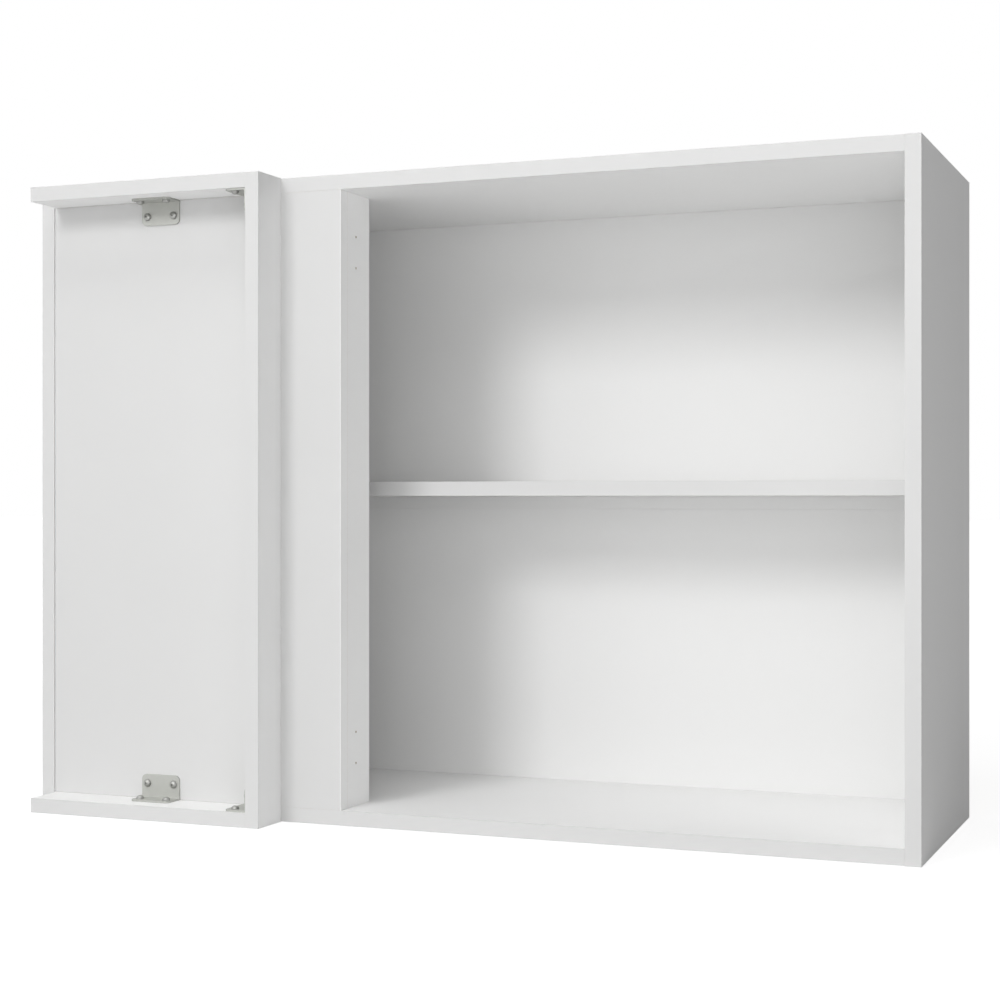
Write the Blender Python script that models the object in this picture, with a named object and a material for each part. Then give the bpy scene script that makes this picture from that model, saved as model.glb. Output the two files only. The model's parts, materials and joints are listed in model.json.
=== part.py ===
"""Open blind-corner wall cabinet with a filler box, as separate boards and fittings.

Metres, +Z up. The open front faces -Y and the wall side faces +Y. The world origin is
the middle of the footprint at floor level. Pieces are placed in a carcass frame, which
counts X from the left side panel, Y from the carcass front and Z from the floor.
"""

import math

import bmesh
import bpy
from mathutils import Matrix, Vector

# Carcass boards
cabinet_width = 1.000
cabinet_height = 0.700
cabinet_depth = 0.310
board_thickness = 0.016
panel_end_inset = 0.0004
edge_chamfer = 0.0003

# Clearances
seat_gap = 0.0003
running_gap = 0.0005
bore_clearance = 0.0003
bore_end_clearance = 0.0005
cut_overshoot = 0.002

# Back in two pieces, held in a groove and joined by an H-section strip
back_thickness = 0.003
back_recess = 0.005
groove_depth = 0.008
strip_flange_height = 0.021
strip_flange_thickness = 0.0008
strip_web_height = 0.0012

# Loose shelf and its pins
shelf_depth = 0.174
shelf_above_middle = 0.0046
shelf_end_clearance = 0.0005
shelf_rear_clearance = 0.0007
pin_inset = 0.037
pin_diameter = 0.005
pin_bore_depth = 0.0085
pin_collar_diameter = 0.009
pin_collar_thickness = 0.0012
pin_nose_diameter = 0.006
pin_nose_length = 0.008
pin_nose_chamfer = 0.0008

# Blind panel and the hinge post behind its free edge
blind_panel_width = 0.3662
shadow_groove_width = 0.0022
shadow_groove_depth = 0.002
hinge_post_depth = 0.0535
hinge_hole_setback = 0.037
hinge_hole_end_distance = 0.080
hinge_hole_pitch = 0.034
hinge_hole_diameter = 0.0025
hinge_hole_depth = 0.011

# Dowels that locate the blind panel and the hinge post
dowel_diameter = 0.008
dowel_panel_depth = 0.0105
dowel_board_depth = 0.0145
dowel_chamfer = 0.0008
blind_dowel_inset = 0.062

# Filler box in front of the blind panel
filler_left = 0.020
filler_right = 0.310
filler_depth = 0.050

# Steel angle brackets of the filler box
bracket_width = 0.048
bracket_leg = 0.027
bracket_thickness = 0.002
bracket_bend_radius = 0.0025
bracket_hole_pitch = 0.0335
bracket_hole_setback = 0.017
bracket_corner_radius = 0.0055
mid_bracket_x = 0.159

# Pan head screws of the brackets
screw_diameter = 0.0036
screw_length = 0.013
screw_tip_length = 0.003
screw_tip_diameter = 0.001
screw_head_diameter = 0.0086
screw_head_height = 0.0038
screw_head_rim = 0.0006

# Cam fittings in the outer faces of the top and bottom panels
cam_diameter = 0.015
cam_height = 0.0125
cam_face_inset = 0.0002
cam_end_distance = 0.024
cam_front_offset = 0.050
cam_rear_offset = 0.060
cam_drive_span = 0.0076
cam_drive_width = 0.0016
cam_drive_depth = 0.002

# Adjustable hangers in the upper rear corners
hanger_wall = 0.002
hanger_top_gap = 0.002
hanger_peg_diameter = 0.010
hanger_peg_length = 0.011
hanger_peg_pitch = 0.030
hanger_driver_slot = 0.007
hanger_notch_cover = 0.001
hook_width = 0.015
hook_thickness = 0.003
hook_lip_drop = 0.014
hook_seat_depth = 0.0008
hook_rear_gap = 0.0005
hook_lug_thickness = 0.004
hook_lug_edge = 0.002
hook_bend_radius = 0.0025
hook_height_travel = 0.006
hook_depth_travel = 0.012
carriage_cheek = 0.0025
carriage_upright = 0.005
carriage_guide = 0.008
carriage_guide_cap = 0.003
carriage_base = 0.012
adjuster_diameter = 0.005
adjuster_grip = 0.006
adjuster_neck_diameter = 0.004
adjuster_collar_diameter = 0.007
adjuster_collar_height = 0.0012
adjuster_head_diameter = 0.009
adjuster_head_height = 0.003

# Facets of round shapes
round_sides = 12
large_round_sides = 16
arc_steps = 4
sharp_angle = math.radians(35)
weld_distance = 1e-7

# Carcass frame, worked out from the driving dimensions
carcass_front = (filler_depth + seat_gap - cabinet_depth) / 2
left_inner = board_thickness
right_inner = cabinet_width - board_thickness
panel_left = left_inner + seat_gap
panel_right = right_inner - seat_gap
bottom_over = panel_end_inset + board_thickness
top_under = cabinet_height - bottom_over

back_inner = cabinet_depth - back_recess - back_thickness
back_outer = back_inner + back_thickness
back_engagement = groove_depth - bore_end_clearance
strip_middle = cabinet_height / 2
strip_front = back_inner - seat_gap - strip_flange_thickness
strip_rear = back_outer + seat_gap + strip_flange_thickness

shelf_rear = strip_front - shelf_rear_clearance
shelf_front = shelf_rear - shelf_depth
shelf_underside = cabinet_height / 2 + shelf_above_middle
pin_length = pin_bore_depth - bore_end_clearance
pin_collar_face = seat_gap + pin_collar_thickness
shelf_left = left_inner + pin_collar_face + shelf_end_clearance
shelf_right = right_inner - pin_collar_face - shelf_end_clearance
pin_height = shelf_underside - seat_gap - pin_nose_diameter / 2

blind_left = left_inner + seat_gap
blind_right = blind_left + blind_panel_width
post_left = blind_right - board_thickness
post_front = board_thickness + seat_gap
post_rear = post_front + hinge_post_depth
upright_low = bottom_over + seat_gap
upright_high = top_under - seat_gap

filler_rear = -seat_gap
filler_front = filler_rear - filler_depth
return_left = filler_right - board_thickness

# Hanger mechanism, stacked from its front wall to its rear wall
carriage_front = hanger_wall + running_gap + adjuster_head_height + seat_gap
carriage_upright_rear = carriage_front + carriage_upright
lug_front = carriage_upright_rear + seat_gap + adjuster_collar_height + running_gap
lug_rear = lug_front + hook_lug_thickness
depth_screw_end = lug_rear + hook_depth_travel
lift_screw_y = depth_screw_end + running_gap + adjuster_diameter / 2
guide_front = lift_screw_y + adjuster_diameter / 2 + running_gap
guide_rear = guide_front + carriage_guide
hanger_depth = guide_rear + running_gap + hanger_wall

# Hanger mechanism, stacked from its floor to its roof
adjuster_bore_radius = adjuster_diameter / 2 + bore_clearance
carriage_low = hanger_wall + seat_gap + adjuster_collar_height + running_gap + hook_height_travel
carriage_base_top = carriage_low + carriage_base
lift_screw_end = carriage_low + hook_height_travel + adjuster_grip
lug_low = carriage_base_top + running_gap
depth_screw_z = lug_low + hook_lug_edge + adjuster_bore_radius
arm_low = max(
    depth_screw_z + adjuster_bore_radius + hook_lug_edge,
    lift_screw_end + hook_height_travel + running_gap,
)
arm_high = arm_low + hook_thickness
carriage_high = arm_high + seat_gap + carriage_guide_cap
peg_z = carriage_high + hook_height_travel + running_gap + hanger_peg_diameter / 2
hanger_height = peg_z + hanger_peg_diameter / 2 + running_gap + hanger_wall

# Hanger mechanism, stacked from the side panel inwards
carriage_width = hook_width + 2 * carriage_cheek
hanger_middle = seat_gap + running_gap + carriage_width / 2
hanger_cover = hanger_middle + carriage_width / 2 + running_gap
hanger_reach = hanger_cover + hanger_wall

hanger_front = back_inner - seat_gap - hanger_depth
hanger_low = top_under - hanger_top_gap - hanger_height
lip_rear = cabinet_depth - hook_rear_gap - hanger_front
lip_front = lip_rear - hook_thickness
lip_low = arm_low - hook_lip_drop
rail_seat_front = hanger_depth + running_gap
rail_seat_high = arm_low + hook_seat_depth


def clear_scene():
    """Remove every object that is already in the scene."""
    for obj in list(bpy.data.objects):
        bpy.data.objects.remove(obj, do_unlink=True)


def make_material(name, colour, roughness, metallic=0.0):
    """Return a plain Principled material."""
    material = bpy.data.materials.new(name)
    material.use_nodes = True
    shader = material.node_tree.nodes["Principled BSDF"]
    shader.inputs["Base Color"].default_value = (*colour, 1.0)
    shader.inputs["Roughness"].default_value = roughness
    shader.inputs["Metallic"].default_value = metallic
    return material


def link_object(name, data):
    """Return a new object of this data, linked to the scene."""
    obj = bpy.data.objects.new(name, data)
    bpy.context.scene.collection.objects.link(obj)
    return obj


def mesh_from(shape, name):
    """Turn a bmesh into a mesh, with its faces pointing out."""
    bmesh.ops.recalc_face_normals(shape, faces=shape.faces)
    mesh = bpy.data.meshes.new(name)
    shape.to_mesh(mesh)
    shape.free()
    return mesh


def carve(body, tool, operation="DIFFERENCE"):
    """Return body as a bmesh after a Boolean with tool. Both bmeshes are used up."""
    body_object = link_object("carve_body", mesh_from(body, "carve_body"))
    tool_object = link_object("carve_tool", mesh_from(tool, "carve_tool"))
    modifier = body_object.modifiers.new("carve", "BOOLEAN")
    modifier.operation = operation
    modifier.solver = "EXACT"
    modifier.object = tool_object
    depsgraph = bpy.context.evaluated_depsgraph_get()
    carved = bmesh.new()
    carved.from_object(body_object, depsgraph)
    bpy.data.objects.remove(body_object, do_unlink=True)
    bpy.data.objects.remove(tool_object, do_unlink=True)
    return carved


def add_box(shape, corner, opposite):
    """Add a box between two opposite corners."""
    corner = Vector(corner)
    opposite = Vector(opposite)
    size = opposite - corner
    scale = Matrix.Diagonal((abs(size.x), abs(size.y), abs(size.z), 1.0))
    middle = Matrix.Translation((corner + opposite) / 2)
    bmesh.ops.create_cube(shape, size=1.0, matrix=middle @ scale)


def add_cylinder(shape, start, direction, radius, length, sides=round_sides):
    """Add a capped cylinder that runs from start along direction."""
    axis = Vector(direction).normalized()
    turn = axis.to_track_quat("Z", "Y").to_matrix().to_4x4()
    middle = Matrix.Translation(Vector(start) + axis * length / 2)
    bmesh.ops.create_cone(
        shape, cap_ends=True, segments=sides, radius1=radius, radius2=radius, depth=length,
        matrix=middle @ turn,
    )


def add_bore(shape, mouth, inward, diameter, depth, sides=round_sides):
    """Add the tool for a blind hole, this wide across its flats, which starts a little outside its mouth."""
    inward = Vector(inward)
    start = Vector(mouth) - inward * cut_overshoot
    radius = diameter / 2 / math.cos(math.pi / sides)
    add_cylinder(shape, start, inward, radius, depth + cut_overshoot, sides)


def loose(diameter):
    """Return the diameter of a bore in which a round piece of this diameter is loose."""
    return diameter + 2 * bore_clearance


def add_prism(shape, outline, sweep):
    """Add a closed outline of points, swept by a vector."""
    face = shape.faces.new([shape.verts.new(point) for point in outline])
    swept = bmesh.ops.extrude_face_region(shape, geom=[face])
    moved = [item for item in swept["geom"] if isinstance(item, bmesh.types.BMVert)]
    bmesh.ops.translate(shape, verts=moved, vec=Vector(sweep))


def turned_shape(profile, sides=round_sides):
    """Return a solid turned about Z from (radius, height) points that start and end on the axis."""
    shape = bmesh.new()
    verts = [shape.verts.new((radius, 0.0, height)) for radius, height in profile]
    edges = [shape.edges.new(pair) for pair in zip(verts, verts[1:])]
    bmesh.ops.spin(
        shape, geom=verts + edges, cent=(0, 0, 0), axis=(0, 0, 1), angle=2 * math.pi, steps=sides,
        use_merge=True,
    )
    bmesh.ops.remove_doubles(shape, verts=shape.verts, dist=weld_distance)
    return shape


def place(name, mesh, material, frame, location=(0, 0, 0), along=None):
    """Place a mesh as a named piece, with its Z axis along a direction where one is given."""
    obj = link_object(name, mesh)
    obj.parent = frame
    obj.location = location
    if along is not None:
        obj.rotation_mode = "QUATERNION"
        obj.rotation_quaternion = Vector(along).to_track_quat("Z", "Y")
    if not mesh.materials:
        mesh.materials.append(material)
    return obj


def shade_round(mesh):
    """Shade a turned mesh smooth, apart from its corners."""
    mesh.shade_smooth()
    mesh.set_sharp_from_angle(angle=sharp_angle)
    return mesh


def place_shape(name, shape, material, frame, origin):
    """Place a bmesh modelled in carcass coordinates, with the piece's own origin at a point of it."""
    bmesh.ops.translate(shape, verts=shape.verts, vec=-Vector(origin))
    return place(name, mesh_from(shape, name), material, frame, origin)


def add_board(name, corner, opposite, tool, material, frame):
    """Add a board with chamfered edges, drilled and grooved by an optional tool."""
    shape = bmesh.new()
    add_box(shape, corner, opposite)
    bmesh.ops.bevel(
        shape, geom=shape.edges[:], offset=edge_chamfer, offset_type="OFFSET", segments=1, profile=0.5,
        affect="EDGES",
    )
    if tool is not None:
        shape = carve(shape, tool)
    return place_shape(name, shape, material, frame, corner)


def cam_sites():
    """Return the X and Y places of the cam fittings in the top and bottom panels."""
    ends = (panel_left + cam_end_distance, panel_right - cam_end_distance)
    rows = (cam_front_offset, cabinet_depth - cam_rear_offset)
    return [(x, y) for x in ends for y in rows]


def dowel_sites():
    """Return the X and Y place of each upright board's dowels."""
    return {
        "blind_panel": (blind_left + blind_dowel_inset, board_thickness / 2),
        "hinge_post": (post_left + board_thickness / 2, (post_front + post_rear) / 2),
    }


def hanger_point(inner_face, inward, x, y, z):
    """Return the carcass place of a point in a hanger, where x counts from the side panel inwards."""
    return Vector((inner_face + inward * x, hanger_front + y, hanger_low + z))


def peg_rows():
    """Return the places of a hanger's pegs, from its front wall."""
    return [hanger_depth / 2 + step * hanger_peg_pitch / 2 for step in (-1, 1)]


def pin_rows():
    """Return the Y places of the shelf pins."""
    return (shelf_front + pin_inset, shelf_rear - pin_inset)


def bracket_specs():
    """Return each bracket's corner, the directions of its two legs and the boards they lie on."""
    middle_y = filler_rear - bracket_width / 2
    corner_x = return_left - seat_gap
    under_top = cabinet_height - board_thickness - seat_gap
    over_bottom = board_thickness + seat_gap
    down = Vector((0, 0, -1))
    up = Vector((0, 0, 1))
    front = Vector((0, -1, 0))
    left = Vector((-1, 0, 0))
    top = "filler_top_board"
    bottom = "filler_bottom_board"
    end = "filler_return_board"
    return {
        "top_mid": ((mid_bracket_x, filler_rear, under_top), front, down, top, "blind_panel"),
        "bottom_mid": ((mid_bracket_x, filler_rear, over_bottom), front, up, bottom, "blind_panel"),
        "top_end": ((corner_x, middle_y, under_top), left, down, top, end),
        "bottom_end": ((corner_x, middle_y, over_bottom), left, up, bottom, end),
    }


def bracket_screw_sites(spec):
    """Return the board, the place on the leg's outer face and the outward way of each bracket screw."""
    corner, flat_leg, upright_leg, flat_board, upright_board = spec
    across = flat_leg.cross(upright_leg)
    sites = []
    for board, leg, outward in ((flat_board, flat_leg, upright_leg), (upright_board, upright_leg, flat_leg)):
        for step in (-1, 1):
            offset = leg * bracket_hole_setback + across * (step * bracket_hole_pitch / 2)
            sites.append((board, Vector(corner) + offset, outward))
    return sites


def groove_tool(corner, opposite):
    """Return the tool for a groove that takes the back, between two corners given as X and Z."""
    shape = bmesh.new()
    add_box(
        shape,
        (corner[0], back_inner - bore_clearance, corner[1]),
        (opposite[0], back_outer + bore_clearance, opposite[1]),
    )
    return shape


def side_panel_tool(inner_face, inward):
    """Return the tool for a side panel: back groove, shelf pin bores and hanger peg bores."""
    into_panel = (-inward, 0, 0)
    shape = groove_tool(
        (inner_face - inward * groove_depth, -cut_overshoot),
        (inner_face + inward * cut_overshoot, cabinet_height + cut_overshoot),
    )
    for y in pin_rows():
        add_bore(shape, (inner_face, y, pin_height), into_panel, loose(pin_diameter), pin_bore_depth)
    for y in peg_rows():
        mouth = hanger_point(inner_face, inward, 0, y, peg_z)
        depth = hanger_peg_length + bore_end_clearance
        add_bore(shape, mouth, into_panel, loose(hanger_peg_diameter), depth, large_round_sides)
    return shape


def level_panel_tool(inner_face, outward):
    """Return the tool for the top or bottom panel: back groove, cam bores and dowel bores."""
    outer_face = inner_face + outward * board_thickness
    shape = groove_tool(
        (panel_left - cut_overshoot, inner_face - outward * cut_overshoot),
        (panel_right + cut_overshoot, inner_face + outward * groove_depth),
    )
    for x, y in cam_sites():
        depth = cam_face_inset + cam_height + bore_end_clearance
        add_bore(shape, (x, y, outer_face), (0, 0, -outward), loose(cam_diameter), depth, large_round_sides)
    for x, y in dowel_sites().values():
        add_bore(shape, (x, y, inner_face), (0, 0, outward), loose(dowel_diameter), dowel_panel_depth)
    return shape


def upright_board_tool(name):
    """Return the tool for the dowel bores in both ends of an upright board."""
    x, y = dowel_sites()[name]
    shape = bmesh.new()
    add_bore(shape, (x, y, upright_low), (0, 0, 1), loose(dowel_diameter), dowel_board_depth)
    add_bore(shape, (x, y, upright_high), (0, 0, -1), loose(dowel_diameter), dowel_board_depth)
    return shape


def add_screw_bores(shape, board):
    """Add to a tool the bores of the bracket screws that go into this board."""
    depth = screw_length - bracket_thickness + bore_end_clearance
    for spec in bracket_specs().values():
        for name, mouth, outward in bracket_screw_sites(spec):
            if name == board:
                add_bore(shape, mouth, -outward, loose(screw_diameter), depth)


def add_shadow_groove(shape):
    """Add to a tool the shallow rebate along the front of the blind panel's left edge."""
    add_box(
        shape,
        (blind_left - cut_overshoot, -cut_overshoot, upright_low - cut_overshoot),
        (blind_left + shadow_groove_width, shadow_groove_depth, upright_high + cut_overshoot),
    )


def add_hinge_bores(shape):
    """Add to a tool the pilot holes for a hinge plate near each end of the hinge post."""
    for centre in (hinge_hole_end_distance, cabinet_height - hinge_hole_end_distance):
        for step in (-1, 1):
            mouth = (blind_right, hinge_hole_setback, centre + step * hinge_hole_pitch / 2)
            add_bore(shape, mouth, (-1, 0, 0), hinge_hole_diameter, hinge_hole_depth)


def add_carcass(frame, melamine):
    """Add the two side panels and the top and bottom panels between them."""
    add_board(
        "left_side_panel", (0, 0, 0), (left_inner, cabinet_depth, cabinet_height),
        side_panel_tool(left_inner, 1), melamine, frame,
    )
    add_board(
        "right_side_panel", (right_inner, 0, 0), (cabinet_width, cabinet_depth, cabinet_height),
        side_panel_tool(right_inner, -1), melamine, frame,
    )
    add_board(
        "bottom_panel", (panel_left, 0, panel_end_inset), (panel_right, cabinet_depth, bottom_over),
        level_panel_tool(bottom_over, -1), melamine, frame,
    )
    add_board(
        "top_panel", (panel_left, 0, top_under), (panel_right, cabinet_depth, top_under + board_thickness),
        level_panel_tool(top_under, 1), melamine, frame,
    )


def add_back(frame, hardboard, strip_plastic):
    """Add the lower back, the upper back with its hanger notches, and the strip that joins them."""
    left = left_inner - back_engagement
    right = right_inner + back_engagement
    half_web = strip_web_height / 2
    through = (0, back_thickness, 0)

    low = bottom_over - back_engagement
    high = strip_middle - half_web - seat_gap
    shape = bmesh.new()
    add_box(shape, (left, back_inner, low), (right, back_outer, high))
    place_shape("back_panel_lower", shape, hardboard, frame, (left, back_inner, low))

    low = strip_middle + half_web + seat_gap
    high = top_under + back_engagement
    notch_low = hanger_low + hanger_notch_cover
    notch_left = left_inner + hanger_reach - hanger_notch_cover
    notch_right = right_inner - hanger_reach + hanger_notch_cover
    outline = [(left, low), (right, low), (right, notch_low), (notch_right, notch_low)]
    outline += [(notch_right, high), (notch_left, high), (notch_left, notch_low), (left, notch_low)]
    shape = bmesh.new()
    add_prism(shape, [(x, back_inner, z) for x, z in outline], through)
    place_shape("back_panel_upper", shape, hardboard, frame, (left, back_inner, low))

    half_flange = strip_flange_height / 2
    web_front = back_inner - seat_gap
    web_rear = back_outer + seat_gap
    half_outline = [
        (strip_front, half_flange), (web_front, half_flange), (web_front, half_web),
        (web_rear, half_web), (web_rear, half_flange), (strip_rear, half_flange),
    ]
    outline = half_outline + [(y, -z) for y, z in reversed(half_outline)]
    shape = bmesh.new()
    add_prism(
        shape, [(panel_left, y, strip_middle + z) for y, z in outline], (panel_right - panel_left, 0, 0)
    )
    place_shape("back_joint_strip", shape, strip_plastic, frame, (panel_left, strip_front, strip_middle))


def add_shelf(frame, melamine, steel):
    """Add the loose shelf and the four pins that carry it."""
    add_board(
        "shelf",
        (shelf_left, shelf_front, shelf_underside),
        (shelf_right, shelf_rear, shelf_underside + board_thickness),
        None, melamine, frame,
    )
    radius = pin_diameter / 2
    collar = pin_collar_diameter / 2
    nose = pin_nose_diameter / 2
    nose_end = pin_collar_face + pin_nose_length
    profile = [
        (0, -pin_length), (radius, -pin_length), (radius, seat_gap), (collar, seat_gap),
        (collar, pin_collar_face), (nose, pin_collar_face), (nose, nose_end - pin_nose_chamfer),
        (nose - pin_nose_chamfer, nose_end), (0, nose_end),
    ]
    mesh = shade_round(mesh_from(turned_shape(profile), "shelf_pin"))
    for side, inner_face, inward in (("left", left_inner, 1), ("right", right_inner, -1)):
        for row, y in zip(("front", "rear"), pin_rows()):
            place(f"shelf_pin_{side}_{row}", mesh, steel, frame, (inner_face, y, pin_height), (inward, 0, 0))


def add_blind_front(frame, melamine, dowel_wood):
    """Add the blind panel, the hinge post behind its free edge, and their dowels."""
    tool = upright_board_tool("blind_panel")
    add_screw_bores(tool, "blind_panel")
    add_shadow_groove(tool)
    add_board(
        "blind_panel", (blind_left, 0, upright_low), (blind_right, board_thickness, upright_high),
        tool, melamine, frame,
    )
    tool = upright_board_tool("hinge_post")
    add_hinge_bores(tool)
    add_board(
        "hinge_post", (post_left, post_front, upright_low), (blind_right, post_rear, upright_high),
        tool, melamine, frame,
    )
    radius = dowel_diameter / 2
    outer = dowel_panel_depth - bore_end_clearance
    inner = -seat_gap - dowel_board_depth + bore_end_clearance
    profile = [
        (0, inner), (radius - dowel_chamfer, inner), (radius, inner + dowel_chamfer),
        (radius, outer - dowel_chamfer), (radius - dowel_chamfer, outer), (0, outer),
    ]
    mesh = shade_round(mesh_from(turned_shape(profile), "dowel"))
    for board, (x, y) in dowel_sites().items():
        place(f"{board}_dowel_top", mesh, dowel_wood, frame, (x, y, top_under), (0, 0, 1))
        place(f"{board}_dowel_bottom", mesh, dowel_wood, frame, (x, y, bottom_over), (0, 0, -1))


def add_filler_box(frame, melamine):
    """Add the filler box: a return board between the cabinet's ends, and its top and bottom boards."""
    high = cabinet_height - board_thickness
    right = return_left - seat_gap
    boards = {
        "filler_return_board": ((return_left, filler_front, 0), (filler_right, filler_rear, cabinet_height)),
        "filler_top_board": ((filler_left, filler_front, high), (right, filler_rear, cabinet_height)),
        "filler_bottom_board": ((filler_left, filler_front, 0), (right, filler_rear, board_thickness)),
    }
    for name, (corner, opposite) in boards.items():
        tool = bmesh.new()
        add_screw_bores(tool, name)
        add_board(name, corner, opposite, tool, melamine, frame)


def arc(centre, radius, start, end):
    """Return the points of an arc in a plane, from one angle to another."""
    angles = [start + (end - start) * step / arc_steps for step in range(arc_steps + 1)]
    return [(centre[0] + radius * math.cos(a), centre[1] + radius * math.sin(a)) for a in angles]


def bracket_mesh():
    """Return an angle bracket with its corner at the origin, legs along X and Y, and width along Z."""
    bend = bracket_bend_radius
    bend_centre = (bend, bend)
    outline = arc(bend_centre, bend, math.pi, 1.5 * math.pi)
    outline += [(bracket_leg, 0), (bracket_leg, bracket_thickness)]
    outline += arc(bend_centre, bend - bracket_thickness, 1.5 * math.pi, math.pi)
    outline += [(bracket_thickness, bracket_leg), (0, bracket_leg)]
    shape = bmesh.new()
    add_prism(shape, [(x, y, -bracket_width / 2) for x, y in outline], (0, 0, bracket_width))
    tips = [
        edge for edge in shape.edges
        if all(abs(max(vert.co.x, vert.co.y) - bracket_leg) < seat_gap for vert in edge.verts)
        and all(abs(abs(vert.co.z) - bracket_width / 2) < seat_gap for vert in edge.verts)
        and abs(edge.verts[0].co.z - edge.verts[1].co.z) < seat_gap
    ]
    bmesh.ops.bevel(
        shape, geom=tips, offset=bracket_corner_radius, offset_type="OFFSET", segments=arc_steps,
        profile=0.5, affect="EDGES",
    )
    tool = bmesh.new()
    depth = bracket_thickness + cut_overshoot
    for step in (-1, 1):
        z = step * bracket_hole_pitch / 2
        add_bore(tool, (bracket_hole_setback, 0, z), (0, 1, 0), loose(screw_diameter), depth)
        add_bore(tool, (0, bracket_hole_setback, z), (1, 0, 0), loose(screw_diameter), depth)
    return shade_round(mesh_from(carve(shape, tool), "angle_bracket"))


def screw_mesh():
    """Return a pan head screw along Z, with the underside of its head at the origin."""
    radius = screw_head_diameter / 2
    crown_height = screw_head_height - screw_head_rim
    crown = [
        (radius * math.cos(angle), screw_head_rim + crown_height * math.sin(angle))
        for angle in (0.5 * math.pi * step / arc_steps for step in range(1, arc_steps))
    ]
    profile = [(0, -screw_length), (screw_tip_diameter / 2, -screw_length)]
    profile += [(screw_diameter / 2, screw_tip_length - screw_length), (screw_diameter / 2, 0)]
    profile += [(radius, 0), (radius, screw_head_rim), *crown, (0, screw_head_height)]
    return shade_round(mesh_from(turned_shape(profile), "bracket_screw"))


def add_brackets(frame, steel):
    """Add the four angle brackets of the filler box and their screws."""
    mesh = bracket_mesh()
    screw = screw_mesh()
    for name, spec in bracket_specs().items():
        corner, flat_leg, upright_leg = spec[:3]
        bracket = place(f"filler_bracket_{name}", mesh, steel, frame, corner)
        bracket.rotation_mode = "QUATERNION"
        turn = Matrix((flat_leg, upright_leg, flat_leg.cross(upright_leg))).transposed()
        bracket.rotation_quaternion = turn.to_quaternion()
        for number, (board, site, outward) in enumerate(bracket_screw_sites(spec), start=1):
            seat = site + outward * (bracket_thickness + seat_gap)
            place(f"bracket_screw_{name}_{number}", screw, steel, frame, seat, outward)


def cam_mesh():
    """Return a cam fitting along Z, with its slotted face at the origin."""
    shape = bmesh.new()
    add_cylinder(shape, (0, 0, -cam_height), (0, 0, 1), cam_diameter / 2, cam_height, large_round_sides)
    span = cam_drive_span / 2
    half = cam_drive_width / 2
    quarter = [(half, half), (half, span), (-half, span)]
    outline = []
    for turn in range(4):
        spun = Matrix.Rotation(turn * math.pi / 2, 2)
        outline += [spun @ Vector(point) for point in quarter]
    tool = bmesh.new()
    add_prism(tool, [(x, y, -cam_drive_depth) for x, y in outline], (0, 0, cam_drive_depth + cut_overshoot))
    return shade_round(mesh_from(carve(shape, tool), "cam_fitting"))


def add_cams(frame, zinc):
    """Add the cam fittings that pull the top and bottom panels to the side panels."""
    mesh = cam_mesh()
    top_face = top_under + board_thickness - cam_face_inset
    bottom_face = panel_end_inset + cam_face_inset
    for number, (x, y) in enumerate(cam_sites(), start=1):
        place(f"cam_fitting_top_{number}", mesh, zinc, frame, (x, y, top_face), (0, 0, 1))
        place(f"cam_fitting_bottom_{number}", mesh, zinc, frame, (x, y, bottom_face), (0, 0, -1))


def adjuster_mesh(name, plate, end):
    """Return an adjusting screw held by its neck in a plate, which starts at the origin, along Z."""
    head = adjuster_head_diameter / 2
    neck = adjuster_neck_diameter / 2
    collar = adjuster_collar_diameter / 2
    shank = adjuster_diameter / 2
    collar_start = plate + seat_gap
    collar_end = collar_start + adjuster_collar_height
    profile = [
        (0, -seat_gap - adjuster_head_height), (head, -seat_gap - adjuster_head_height), (head, -seat_gap),
        (neck, -seat_gap), (neck, collar_start), (collar, collar_start), (collar, collar_end),
        (shank, collar_end), (shank, end), (0, end),
    ]
    return shade_round(mesh_from(turned_shape(profile), name))


def housing_shape(inner_face, inward):
    """Return a hanger housing: a tray that opens onto the side panel, with two pegs into it."""

    def at(x, y, z):
        return hanger_point(inner_face, inward, x, y, z)

    shape = bmesh.new()
    add_box(shape, at(seat_gap, 0, 0), at(hanger_reach, hanger_depth, hanger_height))

    pocket = bmesh.new()
    add_box(
        pocket,
        at(-cut_overshoot, hanger_wall, hanger_wall),
        at(hanger_cover, hanger_depth - hanger_wall, hanger_height - hanger_wall),
    )
    shape = carve(shape, pocket)

    openings = bmesh.new()
    half_slot = hanger_driver_slot / 2
    slot_reach = hook_height_travel + half_slot
    add_box(
        openings,
        at(hanger_middle - half_slot, -cut_overshoot, depth_screw_z - slot_reach),
        at(hanger_middle + half_slot, hanger_wall + cut_overshoot, depth_screw_z + slot_reach),
    )
    half_hook = hook_width / 2 + running_gap
    hook_reach = hook_height_travel + running_gap
    add_box(
        openings,
        at(hanger_middle - half_hook, guide_rear, arm_low - hook_reach),
        at(hanger_middle + half_hook, hanger_depth + cut_overshoot, arm_high + hook_reach),
    )
    mouth = at(hanger_middle, lift_screw_y, 0)
    add_bore(openings, mouth, (0, 0, 1), loose(adjuster_neck_diameter), hanger_wall + cut_overshoot)
    shape = carve(shape, openings)

    pegs = bmesh.new()
    length = hanger_peg_length + hanger_cover + hanger_wall / 2
    for y in peg_rows():
        start = at(-hanger_peg_length, y, peg_z)
        add_cylinder(pegs, start, (inward, 0, 0), hanger_peg_diameter / 2, length, large_round_sides)
    return carve(shape, pegs, "UNION")


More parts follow.
